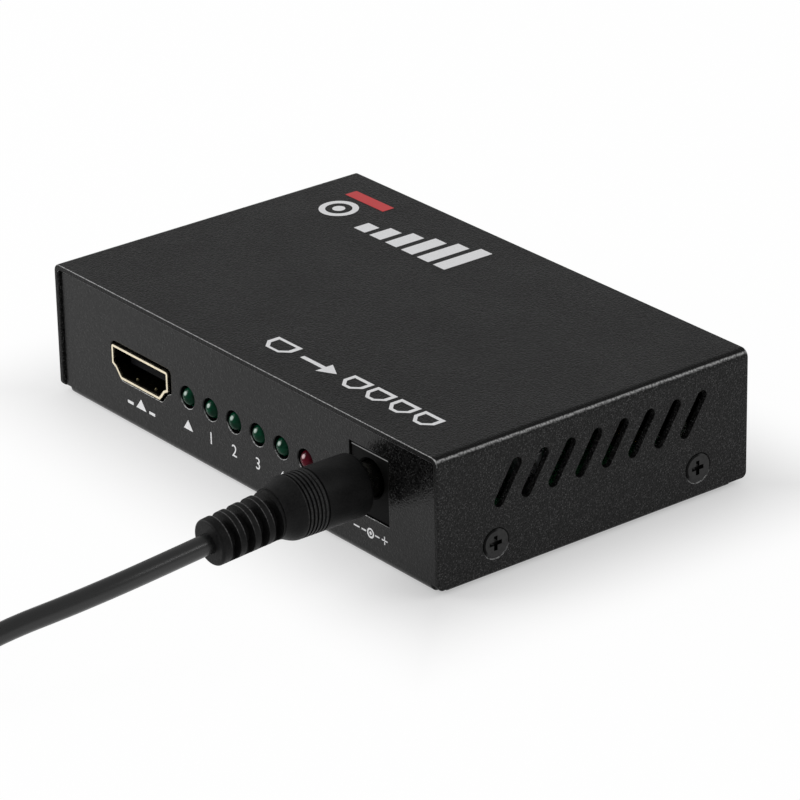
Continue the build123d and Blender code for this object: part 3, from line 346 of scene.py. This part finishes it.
def plated(name, tone, roughness, grain=0.8, mouth_y=None):
    """plated metal with faint clouding and tiny scratches drawn out along X

    mouth_y is how far from the middle a socket's mouth begins. Painted shade darkens the plating
    behind it.
    """
    scratch_grain, scratch_stretch = 0.12, (0.08, 1, 1)
    mouth_fade, inside_shade_shares = 0.25, (0.05, 0.048, 0.035)
    made = Finish(name, Base_Color=(*tone, 1), Metallic=1.0, Roughness=roughness)
    where = made.place()
    cloud = made.noise(where, grain, 3.0)
    scratch = made.noise(made.place(scale=scratch_stretch), scratch_grain)
    plate = made.blend(made.span(cloud, 0.3, 0.7), shaded(tone, 0.82), (*tone, 1))
    # painted shade on the plating deep inside a socket, behind its mouth
    if mouth_y:
        depth = made.size(made.axes(where)[1])
        mouth = made.rise(depth, mouth_y - mouth_fade, mouth_fade)
        plate = made.blend(mouth, shaded(tone, inside_shade_shares), plate)
    made.colour(plate)
    worn = made.math("ADD", cloud, scratch)
    made.rough(made.span(worn, 0.6, 1.4, roughness * 0.7, roughness * 1.4))
    made.bump(scratch, 0.004)
    return made.material


def screw_steel(name, tone, roughness):
    """dark plated screw heads in the flaps, with a deep shade at each rim, to the front and above

    How far a place is from the nearest head along Y is its distance in spacings, less that rounded.
    """
    shade_start, shade_up, shade_forward = 1.92, 0.5, 0.87
    made = Finish(name, Base_Color=grey(tone), Metallic=1.0, Roughness=roughness)
    where = made.place()
    _, y, z = made.axes(where)
    cloud = made.noise(where, 0.5, 3.0)
    from_middle = made.math("SUBTRACT", y, SCREW_MIDDLE_Y * MM)
    spacings = made.math("ADD", made.product(from_middle, 1 / (SCREW_SPACING * MM)), 0.5)
    whole = made.math("ROUND", spacings)
    across = made.product(made.math("SUBTRACT", spacings, whole), SCREW_SPACING * MM)
    up = made.math("SUBTRACT", z, SCREW_Z * MM)
    squares = made.math("ADD", made.product(across, across), made.product(up, up))
    rim = made.rise(made.math("SQRT", squares), shade_start, 0.1)
    towards_shade = made.math(
        "SUBTRACT", made.product(up, shade_up), made.product(across, shade_forward)
    )
    shade = made.product(rim, made.rise(towards_shade, 0.5, 0.7))
    steel = made.blend(made.span(cloud, 0.3, 0.7), grey(tone * 0.8), grey(tone * 1.2))
    made.colour(made.blend(shade, steel, grey(tone * 0.08)))
    made.rough(made.span(cloud, 0.3, 0.7, roughness * 0.8, roughness * 1.25))
    made.bump(cloud, 0.01)
    return made.material


def moulded(name, tone, roughness, grain=0.25, depth=0.012, lip_z=None, **sockets):
    """moulded plastic or rubber with a spark eroded grain and slight clouding

    lip_z is the height of a thin painted highlight along a lip of the front face.
    """
    cloud_per_grain, lip_width, lip_highlight_tone = 22, 0.16, 0.25
    made = Finish(name, Base_Color=(*tone, 1), Roughness=roughness, **sockets)
    where = made.place()
    skin = made.noise(where, grain, 3.0)
    cloud = made.noise(where, grain * cloud_per_grain)
    plastic = made.blend(made.span(cloud, 0.3, 0.7), shaded(tone, 0.8), shaded(tone, 1.22))
    # painted highlight: a thin light line on the front face at lip_z
    if lip_z:
        forward = made.span(made.axes(made.facing())[1], -0.9, -0.98)
        lip_highlight = made.product(made.window(made.axes(where)[2], lip_z, lip_z + lip_width), forward)
        plastic = made.blend(lip_highlight, plastic, grey(lip_highlight_tone))
    made.colour(plastic)
    made.rough(made.span(skin, 0.3, 0.7, roughness * 0.88, min(1.0, roughness * 1.12)))
    made.bump(skin, depth)
    return made.material


def lamp_resin(name, tone):
    """tinted resin over a dark inside: glossy and deep, with a faint cloud in its tint

    A painted highlight: a pale spot where the dome faces up and to the left.
    """
    glint_way, glint_tone = (-0.05, -0.86, 0.5), 0.35
    made = Finish(name, Base_Color=(*tone, 1), Roughness=0.12, Specular_IOR_Level=0.06)
    cloud = made.noise(made.place(), 1.3)
    resin = made.blend(made.span(cloud, 0.35, 0.65), shaded(tone, 0.7), shaded(tone, 1.5))
    # painted highlight: a pale spot where the dome faces up and to the left
    towards_glint = made.node("VectorMath", operation="DOT_PRODUCT")
    made.put(towards_glint.inputs[0], made.facing())
    towards_glint.inputs[1].default_value = glint_way
    glint = made.span(towards_glint.outputs["Value"], 0.955, 0.985)
    made.colour(made.blend(glint, resin, (*np.add(glint_tone, np.multiply(tone, 3)), 1)))
    made.rough(made.span(cloud, 0.3, 0.7, 0.08, 0.16))
    return made.material


def solder_mask(name):
    """green lacquer over copper tracks: square cornered paths show as a slight relief"""
    lacquer = (0.010, 0.085, 0.030)
    dark_lacquer, track_lacquer = (0.008, 0.062, 0.022, 1), (0.016, 0.125, 0.045, 1)
    made = Finish(name, Base_Color=(*lacquer, 1), Roughness=0.28, Specular_IOR_Level=0.5)
    where = made.place()
    weave = made.node("TexBrick")
    made.put(weave.inputs["Vector"], where)
    weave.inputs["Scale"].default_value = 220
    weave.inputs["Mortar Size"].default_value = 0.018
    tracks = made.span(
        made.math("ADD", weave.outputs["Fac"], made.noise(where, 2.6, 1.0)), 0.55, 0.72
    )
    made.colour(made.blend(tracks, dark_lacquer, track_lacquer))
    made.rough(made.span(made.noise(where, 0.6), 0.3, 0.7, 0.22, 0.36))
    made.bump(tracks, 0.03)
    return made.material


def woven(name, tone):
    """narrow woven strap: warp and weft waves across its own length and width"""
    waves_per_metre, distortion = {"X": 420.0, "Y": 520.0}, 0.4
    sheen = dict(Sheen_Weight=0.3, Sheen_Roughness=0.5)
    made = Finish(name, Base_Color=(*tone, 1), Roughness=0.85, **sheen)
    uv = made.place("UV")
    waves = []
    for way, scale in waves_per_metre.items():
        wave = made.node("TexWave", bands_direction=way)
        made.put(wave.inputs["Vector"], uv)
        wave.inputs["Scale"].default_value = scale
        wave.inputs["Distortion"].default_value = distortion
        waves.append(wave.outputs["Fac"])
    threads = made.product(*waves)
    made.colour(made.blend(threads, shaded(tone, 0.5), shaded(tone, 1.7)))
    made.rough(made.span(threads, 0.0, 1.0, 0.92, 0.75))
    made.bump(threads, 0.08)
    return made.material


def ink(name, tone):
    """screen printed ink: a thin flat film with a faint mesh grain"""
    made = Finish(name, Base_Color=(*tone, 1), Roughness=0.42)
    grain = made.noise(made.place(), 0.22)
    made.colour(made.blend(made.span(grain, 0.3, 0.7), shaded(tone, 0.86), (*tone, 1)))
    made.rough(made.span(grain, 0.3, 0.7, 0.36, 0.5))
    made.bump(grain, 0.01)
    return made.material


# Each material slot of the record, with the function that makes its finish and that one's numbers
recipes = {
    "black_powder_coat": (powder_coat, dict(
        tone=0.007, fleck_tone=0.125, rubbed_tone=0.38, gloss=0.125, roughness=0.45, relief=0.11,
        rim_y=30.75, cut_y=30.9, fold_z=21.45,
    )),
    "black_powder_coat_tray": (powder_coat, dict(
        tone=0.003, fleck_tone=0.035, rubbed_tone=0.42, gloss=0.165, roughness=0.22, relief=0.04,
        rim_y=30.25, crest_z=21.6,
    )),
    "zinc_plated_steel": (plated, dict(tone=(0.55, 0.55, 0.57), roughness=0.34)),
    "black_zinc_steel": (screw_steel, dict(tone=0.036, roughness=0.38)),
    # painted shade: nickel far darker than bright plating, for the plug's barrel down in the
    # inlet's shadow
    "nickel_plated_brass": (plated, dict(tone=(0.12, 0.116, 0.104), roughness=0.22)),
    "nickel_plated_steel": (plated, dict(tone=(0.60, 0.60, 0.61), roughness=0.22)),
    "gold_plated_steel": (plated, dict(tone=(0.92, 0.82, 0.62), roughness=0.26, mouth_y=30.55)),
    "gold_contact": (plated, dict(tone=(0.86, 0.62, 0.26), roughness=0.2)),
    "tinned_steel": (plated, dict(tone=(0.56, 0.56, 0.57), roughness=0.32)),
    "capacitor_aluminium": (plated, dict(tone=(0.66, 0.67, 0.68), roughness=0.3, grain=2.0)),
    "green_laminate": (solder_mask, {}),
    "grey_socket_plastic": (moulded, dict(
        tone=(0.006, 0.006, 0.007), roughness=0.6, Specular_IOR_Level=0.04,
    )),
    "black_jack_plastic": (moulded, dict(
        tone=(0.004, 0.004, 0.004), roughness=0.5, lip_z=17.8, Specular_IOR_Level=0.04,
    )),
    "black_epoxy": (moulded, dict(tone=(0.012, 0.012, 0.013), roughness=0.5, grain=0.15)),
    "grey_ferrite": (moulded, dict(
        tone=(0.05, 0.05, 0.055), roughness=0.6, grain=0.3, depth=0.03,
    )),
    "tan_ceramic": (moulded, dict(tone=(0.38, 0.24, 0.12), roughness=0.4, grain=0.1)),
    "black_moulded_pvc": (grip_rubber, dict(tone=0.0055, rubbed_tone=0.09)),
    "black_cord_pvc": (moulded, dict(
        tone=(0.006, 0.0063, 0.0064), roughness=0.3, grain=0.5, depth=0.004,
        Specular_IOR_Level=0.55,
    )),
    "white_plug_plastic": (moulded, dict(tone=(0.75, 0.75, 0.73), roughness=0.35)),
    "black_tie_fabric": (woven, dict(tone=(0.012, 0.012, 0.012))),
    "green_lamp_resin": (lamp_resin, dict(tone=(0.001, 0.026, 0.012))),
    "red_lamp_resin": (lamp_resin, dict(tone=(0.055, 0.002, 0.007))),
}
finishes = {slot: make(slot, **numbers) for slot, (make, numbers) in recipes.items()}
white_ink = ink("white_ink", (0.74, 0.74, 0.75))
red_ink = ink("red_ink", (0.52, 0.018, 0.022))

for part in frame["record"]["subparts"]:
    mesh = nodes[part["node"]].data
    mesh.materials.clear()
    mesh.materials.append(finishes[part["material_slot"]])


def piece(name, points, faces, material, body, uv=None, smooth=True):
    """a mesh object at the origin from an array of points in metres and a list of faces"""
    same_place = 1e-7
    mesh = bpy.data.meshes.new(name)
    mesh.from_pydata(np.asarray(points).tolist(), [], [tuple(map(int, face)) for face in faces])
    mesh.materials.append(material)
    if uv is not None:
        layer = mesh.uv_layers.new(name="along")
        corners = np.empty(len(mesh.loops), dtype=np.int32)
        mesh.loops.foreach_get("vertex_index", corners)
        layer.data.foreach_set("uv", np.asarray(uv, dtype=np.float32)[corners].ravel())
    shaped = bmesh.new()
    shaped.from_mesh(mesh)
    bmesh.ops.remove_doubles(shaped, verts=shaped.verts, dist=same_place)
    bmesh.ops.recalc_face_normals(shaped, faces=shaped.faces)
    shaped.to_mesh(mesh)
    shaped.free()
    mesh.polygons.foreach_set("use_smooth", np.full(len(mesh.polygons), smooth))
    made = bpy.data.objects.new(name, mesh)
    bpy.context.scene.collection.objects.link(made)
    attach(made, body)
    return made


# The lead: straight out of the relief, down and aside, into a flat coil and out to the far plug
CORD = 3.3
STRAIGHT_OUT, BEFORE_COIL = 8, 5.6
TAIL_STEPS, TAIL_Z = (7, 15, 22), 4.0
out_of_relief = np.array((0, -cos(droop), -sin(droop)))
cord_exit = np.array(RELIEF_START) + out_of_relief * RELIEF_LENGTH
coil_start = np.array((26.6, -122.0, 2.25))
coil_heading = radians(262)
heading = np.array((cos(coil_heading), sin(coil_heading), 0))
coil_inner, coil_pitch, half_turns, climb = 10.5, 3.9, 4.125, 0.25
coil_outer = coil_inner + coil_pitch * half_turns
slant = atan2(coil_pitch, 2 * pi * coil_outer)
start_angle = coil_heading + pi / 2 + slant
outwards = np.array((cos(start_angle), sin(start_angle), 0))
coil_middle = coil_start + heading * CORD - outwards * coil_outer


def coil_points(turns):
    """points after so many turns: the radius falls and then rises a pitch a turn, rounded off by a
    parabola in the middle half turn, where the height climbs one pitch on half a cosine wave"""
    past = turns - half_turns
    inside = np.clip(past, -climb, climb)
    radius = np.where(
        np.abs(past) < climb,
        coil_inner + coil_pitch * (inside * inside / climb + climb) / 2,
        coil_inner + coil_pitch * np.abs(past),
    )
    height = coil_start[2] + coil_pitch * (1 - np.cos(pi * (inside + climb) / (2 * climb))) / 2
    angle = start_angle - 2 * pi * turns
    x = coil_middle[0] + radius * np.cos(angle)
    y = coil_middle[1] + radius * np.sin(angle)
    return np.column_stack((x, y, height))


# Shares of the way from the relief to the coil along X, Y and Z, for the stretch that is in view
cord_shares = np.array(
    (
        (0.03, 0.28, 0.16),
        (0.22, 0.41, 0.28),
        (0.50, 0.54, 0.41),
        (0.70, 0.67, 0.61),
        (0.84, 0.795, 0.85),
    )
)
shown = cord_exit + cord_shares * (coil_start - cord_exit)
coil_count = 199
coil = coil_points(np.linspace(0, 2 * half_turns, coil_count))
end_angle = start_angle - 4 * pi * half_turns
away = np.array(
    (
        sin(end_angle) * cos(slant) + cos(end_angle) * sin(slant),
        -cos(end_angle) * cos(slant) + sin(end_angle) * sin(slant),
        0,
    )
)
coil_end = coil[-1] + away * CORD
drop = np.array((0, 0, TAIL_Z - coil_end[2]))
route = np.vstack(
    (
        cord_exit,
        cord_exit + out_of_relief * STRAIGHT_OUT,
        shown,
        coil_start - heading * BEFORE_COIL,
        coil_start,
        coil,
        coil_end,
        coil_end + away * TAIL_STEPS[0],
        coil_end + away * TAIL_STEPS[1] + drop,
        coil_end + away * TAIL_STEPS[2] + drop,
    )
) * MM

line = bpy.data.curves.new("lead", "CURVE")
line.dimensions = "3D"
spline = line.splines.new("NURBS")
spline.points.add(len(route) - 1)
spline.points.foreach_set("co", np.column_stack((route, np.ones(len(route)))).ravel())
spline.order_u = 3
spline.use_endpoint_u = True
spline.resolution_u = 6
line.bevel_depth = CORD / 2 * MM
line.bevel_resolution = 6
line.use_fill_caps = True
line.materials.append(finishes["black_cord_pvc"])
lead = bpy.data.objects.new("lead", line)
bpy.context.scene.collection.objects.link(lead)
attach(lead, "power_plug")
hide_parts("power_cord", "cord_coil", "cord_tail")


def superellipse(angle, a, b, exponent):
    """|x/a|^exponent + |y/b|^exponent = 1, as its two coordinates at the angle"""
    power = 2 / exponent
    return tuple(
        half * np.sign(wave) * np.abs(wave) ** power
        for half, wave in ((a, np.cos(angle)), (b, np.sin(angle)))
    )


def strap_loop(radial, middle, inner_length, inner_height, thickness, width):
    """a flat strap carried round a superellipse of exponent seven, closed on itself

    The strap's own section is a superellipse of exponent four, its thin side across the loop.
    """
    around, across, loop_exponent, section_exponent = 160, 24, 7, 4
    t = np.linspace(0, 2 * pi, around, endpoint=False)
    s = np.linspace(0, 2 * pi, across, endpoint=False)
    long, tall = (inner_length + thickness) / 2, (inner_height + thickness) / 2
    x, z = superellipse(t, long, tall, loop_exponent)
    dx, dz = np.roll(x, -1) - np.roll(x, 1), np.roll(z, -1) - np.roll(z, 1)
    step = np.hypot(dx, dz)
    nx, nz = dz / step, -dx / step
    off, side = superellipse(s, thickness / 2, width / 2, section_exponent)
    tangent = np.array((-radial[1], radial[0], 0))
    flat = x[:, None] + nx[:, None] * off[None, :]
    high = z[:, None] + nz[:, None] * off[None, :]
    points = (
        middle
        + flat[..., None] * radial
        + high[..., None] * np.array((0, 0, 1.0))
        + side[None, :, None] * tangent
    )
    i, j = np.meshgrid(np.arange(around), np.arange(across), indexing="ij")
    ahead, beside = (i + 1) % around, (j + 1) % across
    faces = np.stack(
        (i * across + j, i * across + beside, ahead * across + beside, ahead * across + j), -1
    )
    length = np.concatenate(((0,), np.cumsum(np.hypot(np.diff(x), np.diff(z)))))
    uv = np.stack(np.broadcast_arrays(length[:, None], side[None, :]), -1)
    return points.reshape(-1, 3) * MM, faces.reshape(-1, 4), uv.reshape(-1, 2) * MM


# The strap: round the coil on its far side, a little clear of the turns
TIE_GAP, TIE_THICKNESS, TIE_WIDTH, TIE_FLOOR_GAP, TIE_SLACK = 0.5, 0.5, 5.0, 0.5, 0.2
tie_angle = start_angle + pi
tie_radial = np.array((cos(tie_angle), sin(tie_angle), 0))
tie_inner, tie_outer = coil_inner - CORD / 2 - TIE_GAP, coil_outer + CORD / 2 + TIE_GAP
tie_height = coil_pitch + CORD + TIE_SLACK
tie_middle = coil_middle * (1, 1, 0) + tie_radial * (tie_inner + tie_outer) / 2
tie_middle[2] = TIE_FLOOR_GAP + tie_height / 2
loop, loop_faces, loop_uv = strap_loop(
    tie_radial, tie_middle, tie_outer - tie_inner, tie_height, TIE_THICKNESS, TIE_WIDTH
)
tie_finish = "black_tie_fabric"
tie = piece("strap", loop, loop_faces, finishes[tie_finish], "power_plug", loop_uv)
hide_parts("cord_tie")


# Printed marks: thin closed films on a face, drawn in that face's own millimetres
FILM = 0.03


def round_outline(x, y, radius, count=32):
    """a circle's points"""
    t = np.linspace(0, 2 * pi, count, endpoint=False)
    return np.column_stack((x + radius * np.cos(t), y + radius * np.sin(t)))


class Print:
    """Film shapes gathered on one face, whose origin, across and up directions are given."""

    def __init__(self, origin, across, up):
        self.origin, self.across, self.up = map(np.array, (origin, across, up))
        self.out = np.cross(self.across, self.up)
        self.points, self.faces, self.count = [], [], 0

    def add(self, flat, faces):
        """flat is an array of x, y and height off the face"""
        self.points.append(self.origin + flat @ np.array((self.across, self.up, self.out)))
        self.faces += [tuple(int(i) + self.count for i in face) for face in faces]
        self.count += len(flat)

    def patch(self, outline):
        """a prism on one closed outline"""
        count = len(outline)
        low = np.column_stack((outline, np.full(count, -FILM / 3)))
        high = np.column_stack((outline, np.full(count, FILM)))
        ring = np.arange(count)
        after = (ring + 1) % count
        sides = np.column_stack((ring, after, after + count, ring + count))
        self.add(np.vstack((low, high)), [ring[::-1], ring + count, *sides])

    def band(self, outer, inner):
        """a flat frame between two outlines of as many points each"""
        count = len(outer)
        edges = ((outer, -FILM / 3), (outer, FILM), (inner, FILM), (inner, -FILM / 3))
        loops = [np.column_stack((edge, np.full(count, height))) for edge, height in edges]
        ring = np.arange(count)
        after = (ring + 1) % count
        faces = []
        for one in range(len(loops)):
            here, there = one * count, (one + 1) % len(loops) * count
            faces += [*np.column_stack((ring + here, after + here, after + there, ring + there))]
        self.add(np.vstack(loops), faces)

    def bar(self, x0, y0, x1, y1):
        """a rectangle from one corner to the other"""
        self.patch(((x0, y0), (x1, y0), (x1, y1), (x0, y1)))

    def bar_pair(self, x, near, far, low, high):
        """bars alike to the left and right of x, from near to far of it"""
        self.bar(x - far, low, x - near, high)
        self.bar(x + near, low, x + far, high)

    def triangle(self, x, foot, width, height):
        """a triangle that points up, its middle at x"""
        self.patch(((x - width / 2, foot), (x + width / 2, foot), (x, foot + height)))

    def ring(self, x, y, outer, inner, count=32):
        """a flat ring between two radii"""
        self.band(round_outline(x, y, outer, count), round_outline(x, y, inner, count))

    def mouth(self, x, foot, width, height, inner_share):
        """a socket's outline as a frame: a box whose lower corners slope in, its middle at x"""
        slope_share = 0.4
        half, slope = width / 2, height * slope_share
        outline = np.array(
            (
                (x - half + slope, foot),
                (x + half - slope, foot),
                (x + half, foot + slope),
                (x + half, foot + height),
                (x - half, foot + height),
                (x - half, foot + slope),
            )
        )
        middle = outline.mean(axis=0)
        self.band(outline, middle + (outline - middle) * inner_share)

    def number(self, text, x, foot, height):
        """a plain number in the built in type, its middle at x"""
        words = bpy.data.curves.new("number", "FONT")
        words.body = text
        words.align_x = "CENTER"
        words.extrude = 0.5
        words.resolution_u = 4
        drawn = bpy.data.objects.new("number", words)
        bpy.context.scene.collection.objects.link(drawn)
        bpy.context.view_layer.update()
        depsgraph = bpy.context.evaluated_depsgraph_get()
        mesh = bpy.data.meshes.new_from_object(drawn.evaluated_get(depsgraph))
        points = np.empty(len(mesh.vertices) * 3)
        mesh.vertices.foreach_get("co", points)
        points = points.reshape(-1, 3)
        faces = [tuple(face.vertices) for face in mesh.polygons]
        bpy.data.objects.remove(drawn)
        bpy.data.curves.remove(words)
        bpy.data.meshes.remove(mesh)
        flat = points[:, :2] * (height / np.ptp(points[:, 1]))
        flat[:, 1] -= flat[:, 1].min()
        flat[:, 0] -= (flat[:, 0].min() + flat[:, 0].max()) / 2
        high = np.where(points[:, 2:] > 0, FILM, -FILM / 3)
        self.add(np.column_stack((flat + (x, foot), high)), faces)

    def finish(self, name, material):
        """all the shapes as one piece that rides on the case"""
        return piece(name, np.vstack(self.points) * MM, self.faces, material, "case", smooth=False)


# Front and rear marks are measured from this height, and the numbers are as tall as each other
MARKS_Z = 0.5
NUMBER_HEIGHT = 2.05
output_numbers = range(1, 5)

front = Print((0, -PANEL_Y, MARKS_Z), (1, 0, 0), (0, 0, 1))
lamp_xs = [LAMP_FIRST_X + LAMP_PITCH * number for number in range(LAMP_COUNT)]
for number in output_numbers:
    front.number(str(number), lamp_xs[number], foot=4.35, height=NUMBER_HEIGHT)
front.triangle(x=-14.15, foot=4.7, width=2.5, height=1.7)

input_x, input_foot, input_bar_top = -27.2, 3.7, 4.2
front.triangle(input_x, input_foot, width=2.8, height=1.8)
front.bar_pair(input_x, near=2.2, far=3.8, low=input_foot, high=input_bar_top)

power_x, power_y, power_bar, bar_foot, bar_top = 16.8, 5.35, 0.3, 5.3, 6.6
front.ring(power_x, power_y, outer=0.95, inner=0.65)
front.bar(power_x - power_bar / 2, bar_foot, power_x + power_bar / 2, bar_top)

# Polarity: a dot in a ring, a dash on each side, a minus to the left and a plus to the right
polarity_x, polarity_y, stroke = 32.95, 3.95, 0.24
minus_near, minus_far = 2.75, 4.15
stroke_low, stroke_high = polarity_y - stroke / 2, polarity_y + stroke / 2
front.ring(polarity_x, polarity_y, outer=0.85, inner=0.55)
front.patch(round_outline(polarity_x, polarity_y, radius=0.28, count=16))
front.bar_pair(polarity_x, near=1.1, far=2.2, low=stroke_low, high=stroke_high)
front.bar_pair(polarity_x, minus_near, minus_far, stroke_low, stroke_high)
plus_x = polarity_x + (minus_near + minus_far) / 2
for low, high in ((-0.7, -0.15), (0.15, 0.7)):
    front.bar(plus_x - stroke / 2, polarity_y + low, plus_x + stroke / 2, polarity_y + high)
front.finish("front_marks", white_ink)

# The rear is drawn as seen from behind, so its across runs the other way
rear = Print((0, PANEL_Y, MARKS_Z), (-1, 0, 0), (0, 0, 1))
for number in output_numbers:
    socket_x = (number - 2.5) * OUTPUT_PITCH
    rear.number(str(number), -socket_x, foot=3.6, height=NUMBER_HEIGHT)
rear.finish("rear_marks", white_ink)

# One mouth, an arrow and four mouths along the front edge of the top
top = Print((0, 0, CASE_HEIGHT), (1, 0, 0), (0, 1, 0))
mouths_foot, mouths_height = -25.1, 3.8
outputs_first, outputs_pitch = 20.4, 5.8
top.mouth(1.6, mouths_foot, 6.2, mouths_height, inner_share=0.72)
shaft_start, shaft_end, arrow_tip, arrow_y = 7.0, 12.6, 15.8, -23.2
shaft_half, head_half = 0.4, 1.7
top.bar(shaft_start, arrow_y - shaft_half, shaft_end, arrow_y + shaft_half)
arrow_low, arrow_high = arrow_y - head_half, arrow_y + head_half
top.patch(((shaft_end, arrow_low), (arrow_tip, arrow_y), (shaft_end, arrow_high)))
for number in range(4):
    x = outputs_first + outputs_pitch * number
    top.mouth(x, mouths_foot, 4.8, mouths_height, inner_share=0.68)

# Rising bars, a target and a red bar near the far edge
rising_first, rising_pitch, rising_width, rising_foot = -29.6, 4.2, 2.9, 15.3
lowest_top, rising_step = 18.4, 1.4
for number in range(6):
    x = rising_first + rising_pitch * number
    top.bar(x, rising_foot, x + rising_width, lowest_top + rising_step * number)
target_x, target_y = -38.0, 18.6
top.ring(target_x, target_y, outer=3.4, inner=2.3, count=48)
top.patch(round_outline(target_x, target_y, radius=1.1, count=24))
top.finish("top_marks", white_ink)
red_bar = Print((0, 0, CASE_HEIGHT), (1, 0, 0), (0, 1, 0))
red_bar.bar(-42.3, 23.3, -32.0, 25.7)
red_bar.finish("top_bar", red_ink)


def softbox(name, place, width, height, watts):
    """an area lamp of that place and size in metres, aimed at the middle of the box"""
    aim = (0, 0, 0.01)
    data = bpy.data.lights.new(name, "AREA")
    data.shape, data.size, data.size_y, data.energy = "RECTANGLE", width, height, watts
    made = bpy.data.objects.new(name, data)
    made.location = place
    made.rotation_euler = (Vector(aim) - Vector(place)).to_track_quat("-Z", "Y").to_euler()
    bpy.context.scene.collection.objects.link(made)


# Stage: two soft lamps, a white surround and a pale floor, with a painted shadow round the box over
# its real one
softbox("front_left", (-0.66, -0.60, 0.47), width=0.65, height=0.6, watts=7.5)
softbox("rear_right", (0.50, 0.50, 0.54), width=0.5, height=0.12, watts=1.2)

# The surround is white at the level of the floor and falls to a soft grey overhead
GREY_FROM, OVERHEAD = 0.3, 0.5
world = bpy.data.worlds.new("surround")
bpy.context.scene.world = world
world.use_nodes = True
surround = Nodes(world.node_tree)
sky = world.node_tree.nodes["Background"]
sky.inputs["Color"].default_value = (1, 1, 1, 1)
towards = surround.axes(surround.node("TexCoord").outputs["Generated"])
surround.put(sky.inputs["Strength"], surround.span(towards["Z"], 0.0, GREY_FROM, 1.0, OVERHEAD))

# The floor is six metres square
FLOOR_HALF = 3
corners = [(x * FLOOR_HALF, y * FLOOR_HALF, 0) for x, y in ((-1, -1), (1, -1), (1, 1), (-1, 1))]
floor_mesh = bpy.data.meshes.new("floor")
floor_mesh.from_pydata(corners, [], [(0, 1, 2, 3)])
floor = bpy.data.objects.new("floor", floor_mesh)
bpy.context.scene.collection.objects.link(floor)

# The paper's own light gives way near the box: a painted shadow round its footprint, with the box's
# real soft shadow showing in it
UNDER_BOX, PAST_BOX, SHARE_NEAR, SHARE_FAR = -6.0, 24.0, 0.36, 0.97
paper = Finish("floor_paper", Base_Color=grey(0.9), Roughness=0.5, Specular_IOR_Level=0.5)
glow = paper.node("Emission")
glow.inputs["Color"].default_value = (1, 1, 1, 1)
glow.inputs["Strength"].default_value = 1.0
spot = paper.axes(paper.node("TexCoord").outputs["Object"])
beyond_side = paper.math("SUBTRACT", paper.size(spot["X"]), CASE_LENGTH / 2 * MM)
beyond_front = paper.math("SUBTRACT", paper.size(spot["Y"]), CASE_DEPTH / 2 * MM)
share = paper.span(
    paper.greatest(beyond_side, beyond_front),
    UNDER_BOX * MM, PAST_BOX * MM, SHARE_NEAR, SHARE_FAR, "SMOOTHSTEP",
)
ray = paper.node("LightPath")
seen_by = ("Camera", "Glossy", "Transmission")
seen = paper.greatest(*(ray.outputs[f"Is {kind} Ray"] for kind in seen_by))
mix = paper.node("MixShader")
paper.put(mix.inputs["Fac"], paper.product(seen, share))
paper.put(mix.inputs[1], paper.shader.outputs["BSDF"])
paper.put(mix.inputs[2], glow.outputs["Emission"])
paper.put(paper.tree.nodes["Material Output"].inputs["Surface"], mix.outputs["Shader"])
floor_mesh.materials.append(paper.material)

bpy.context.scene.view_settings.view_transform = "Standard"
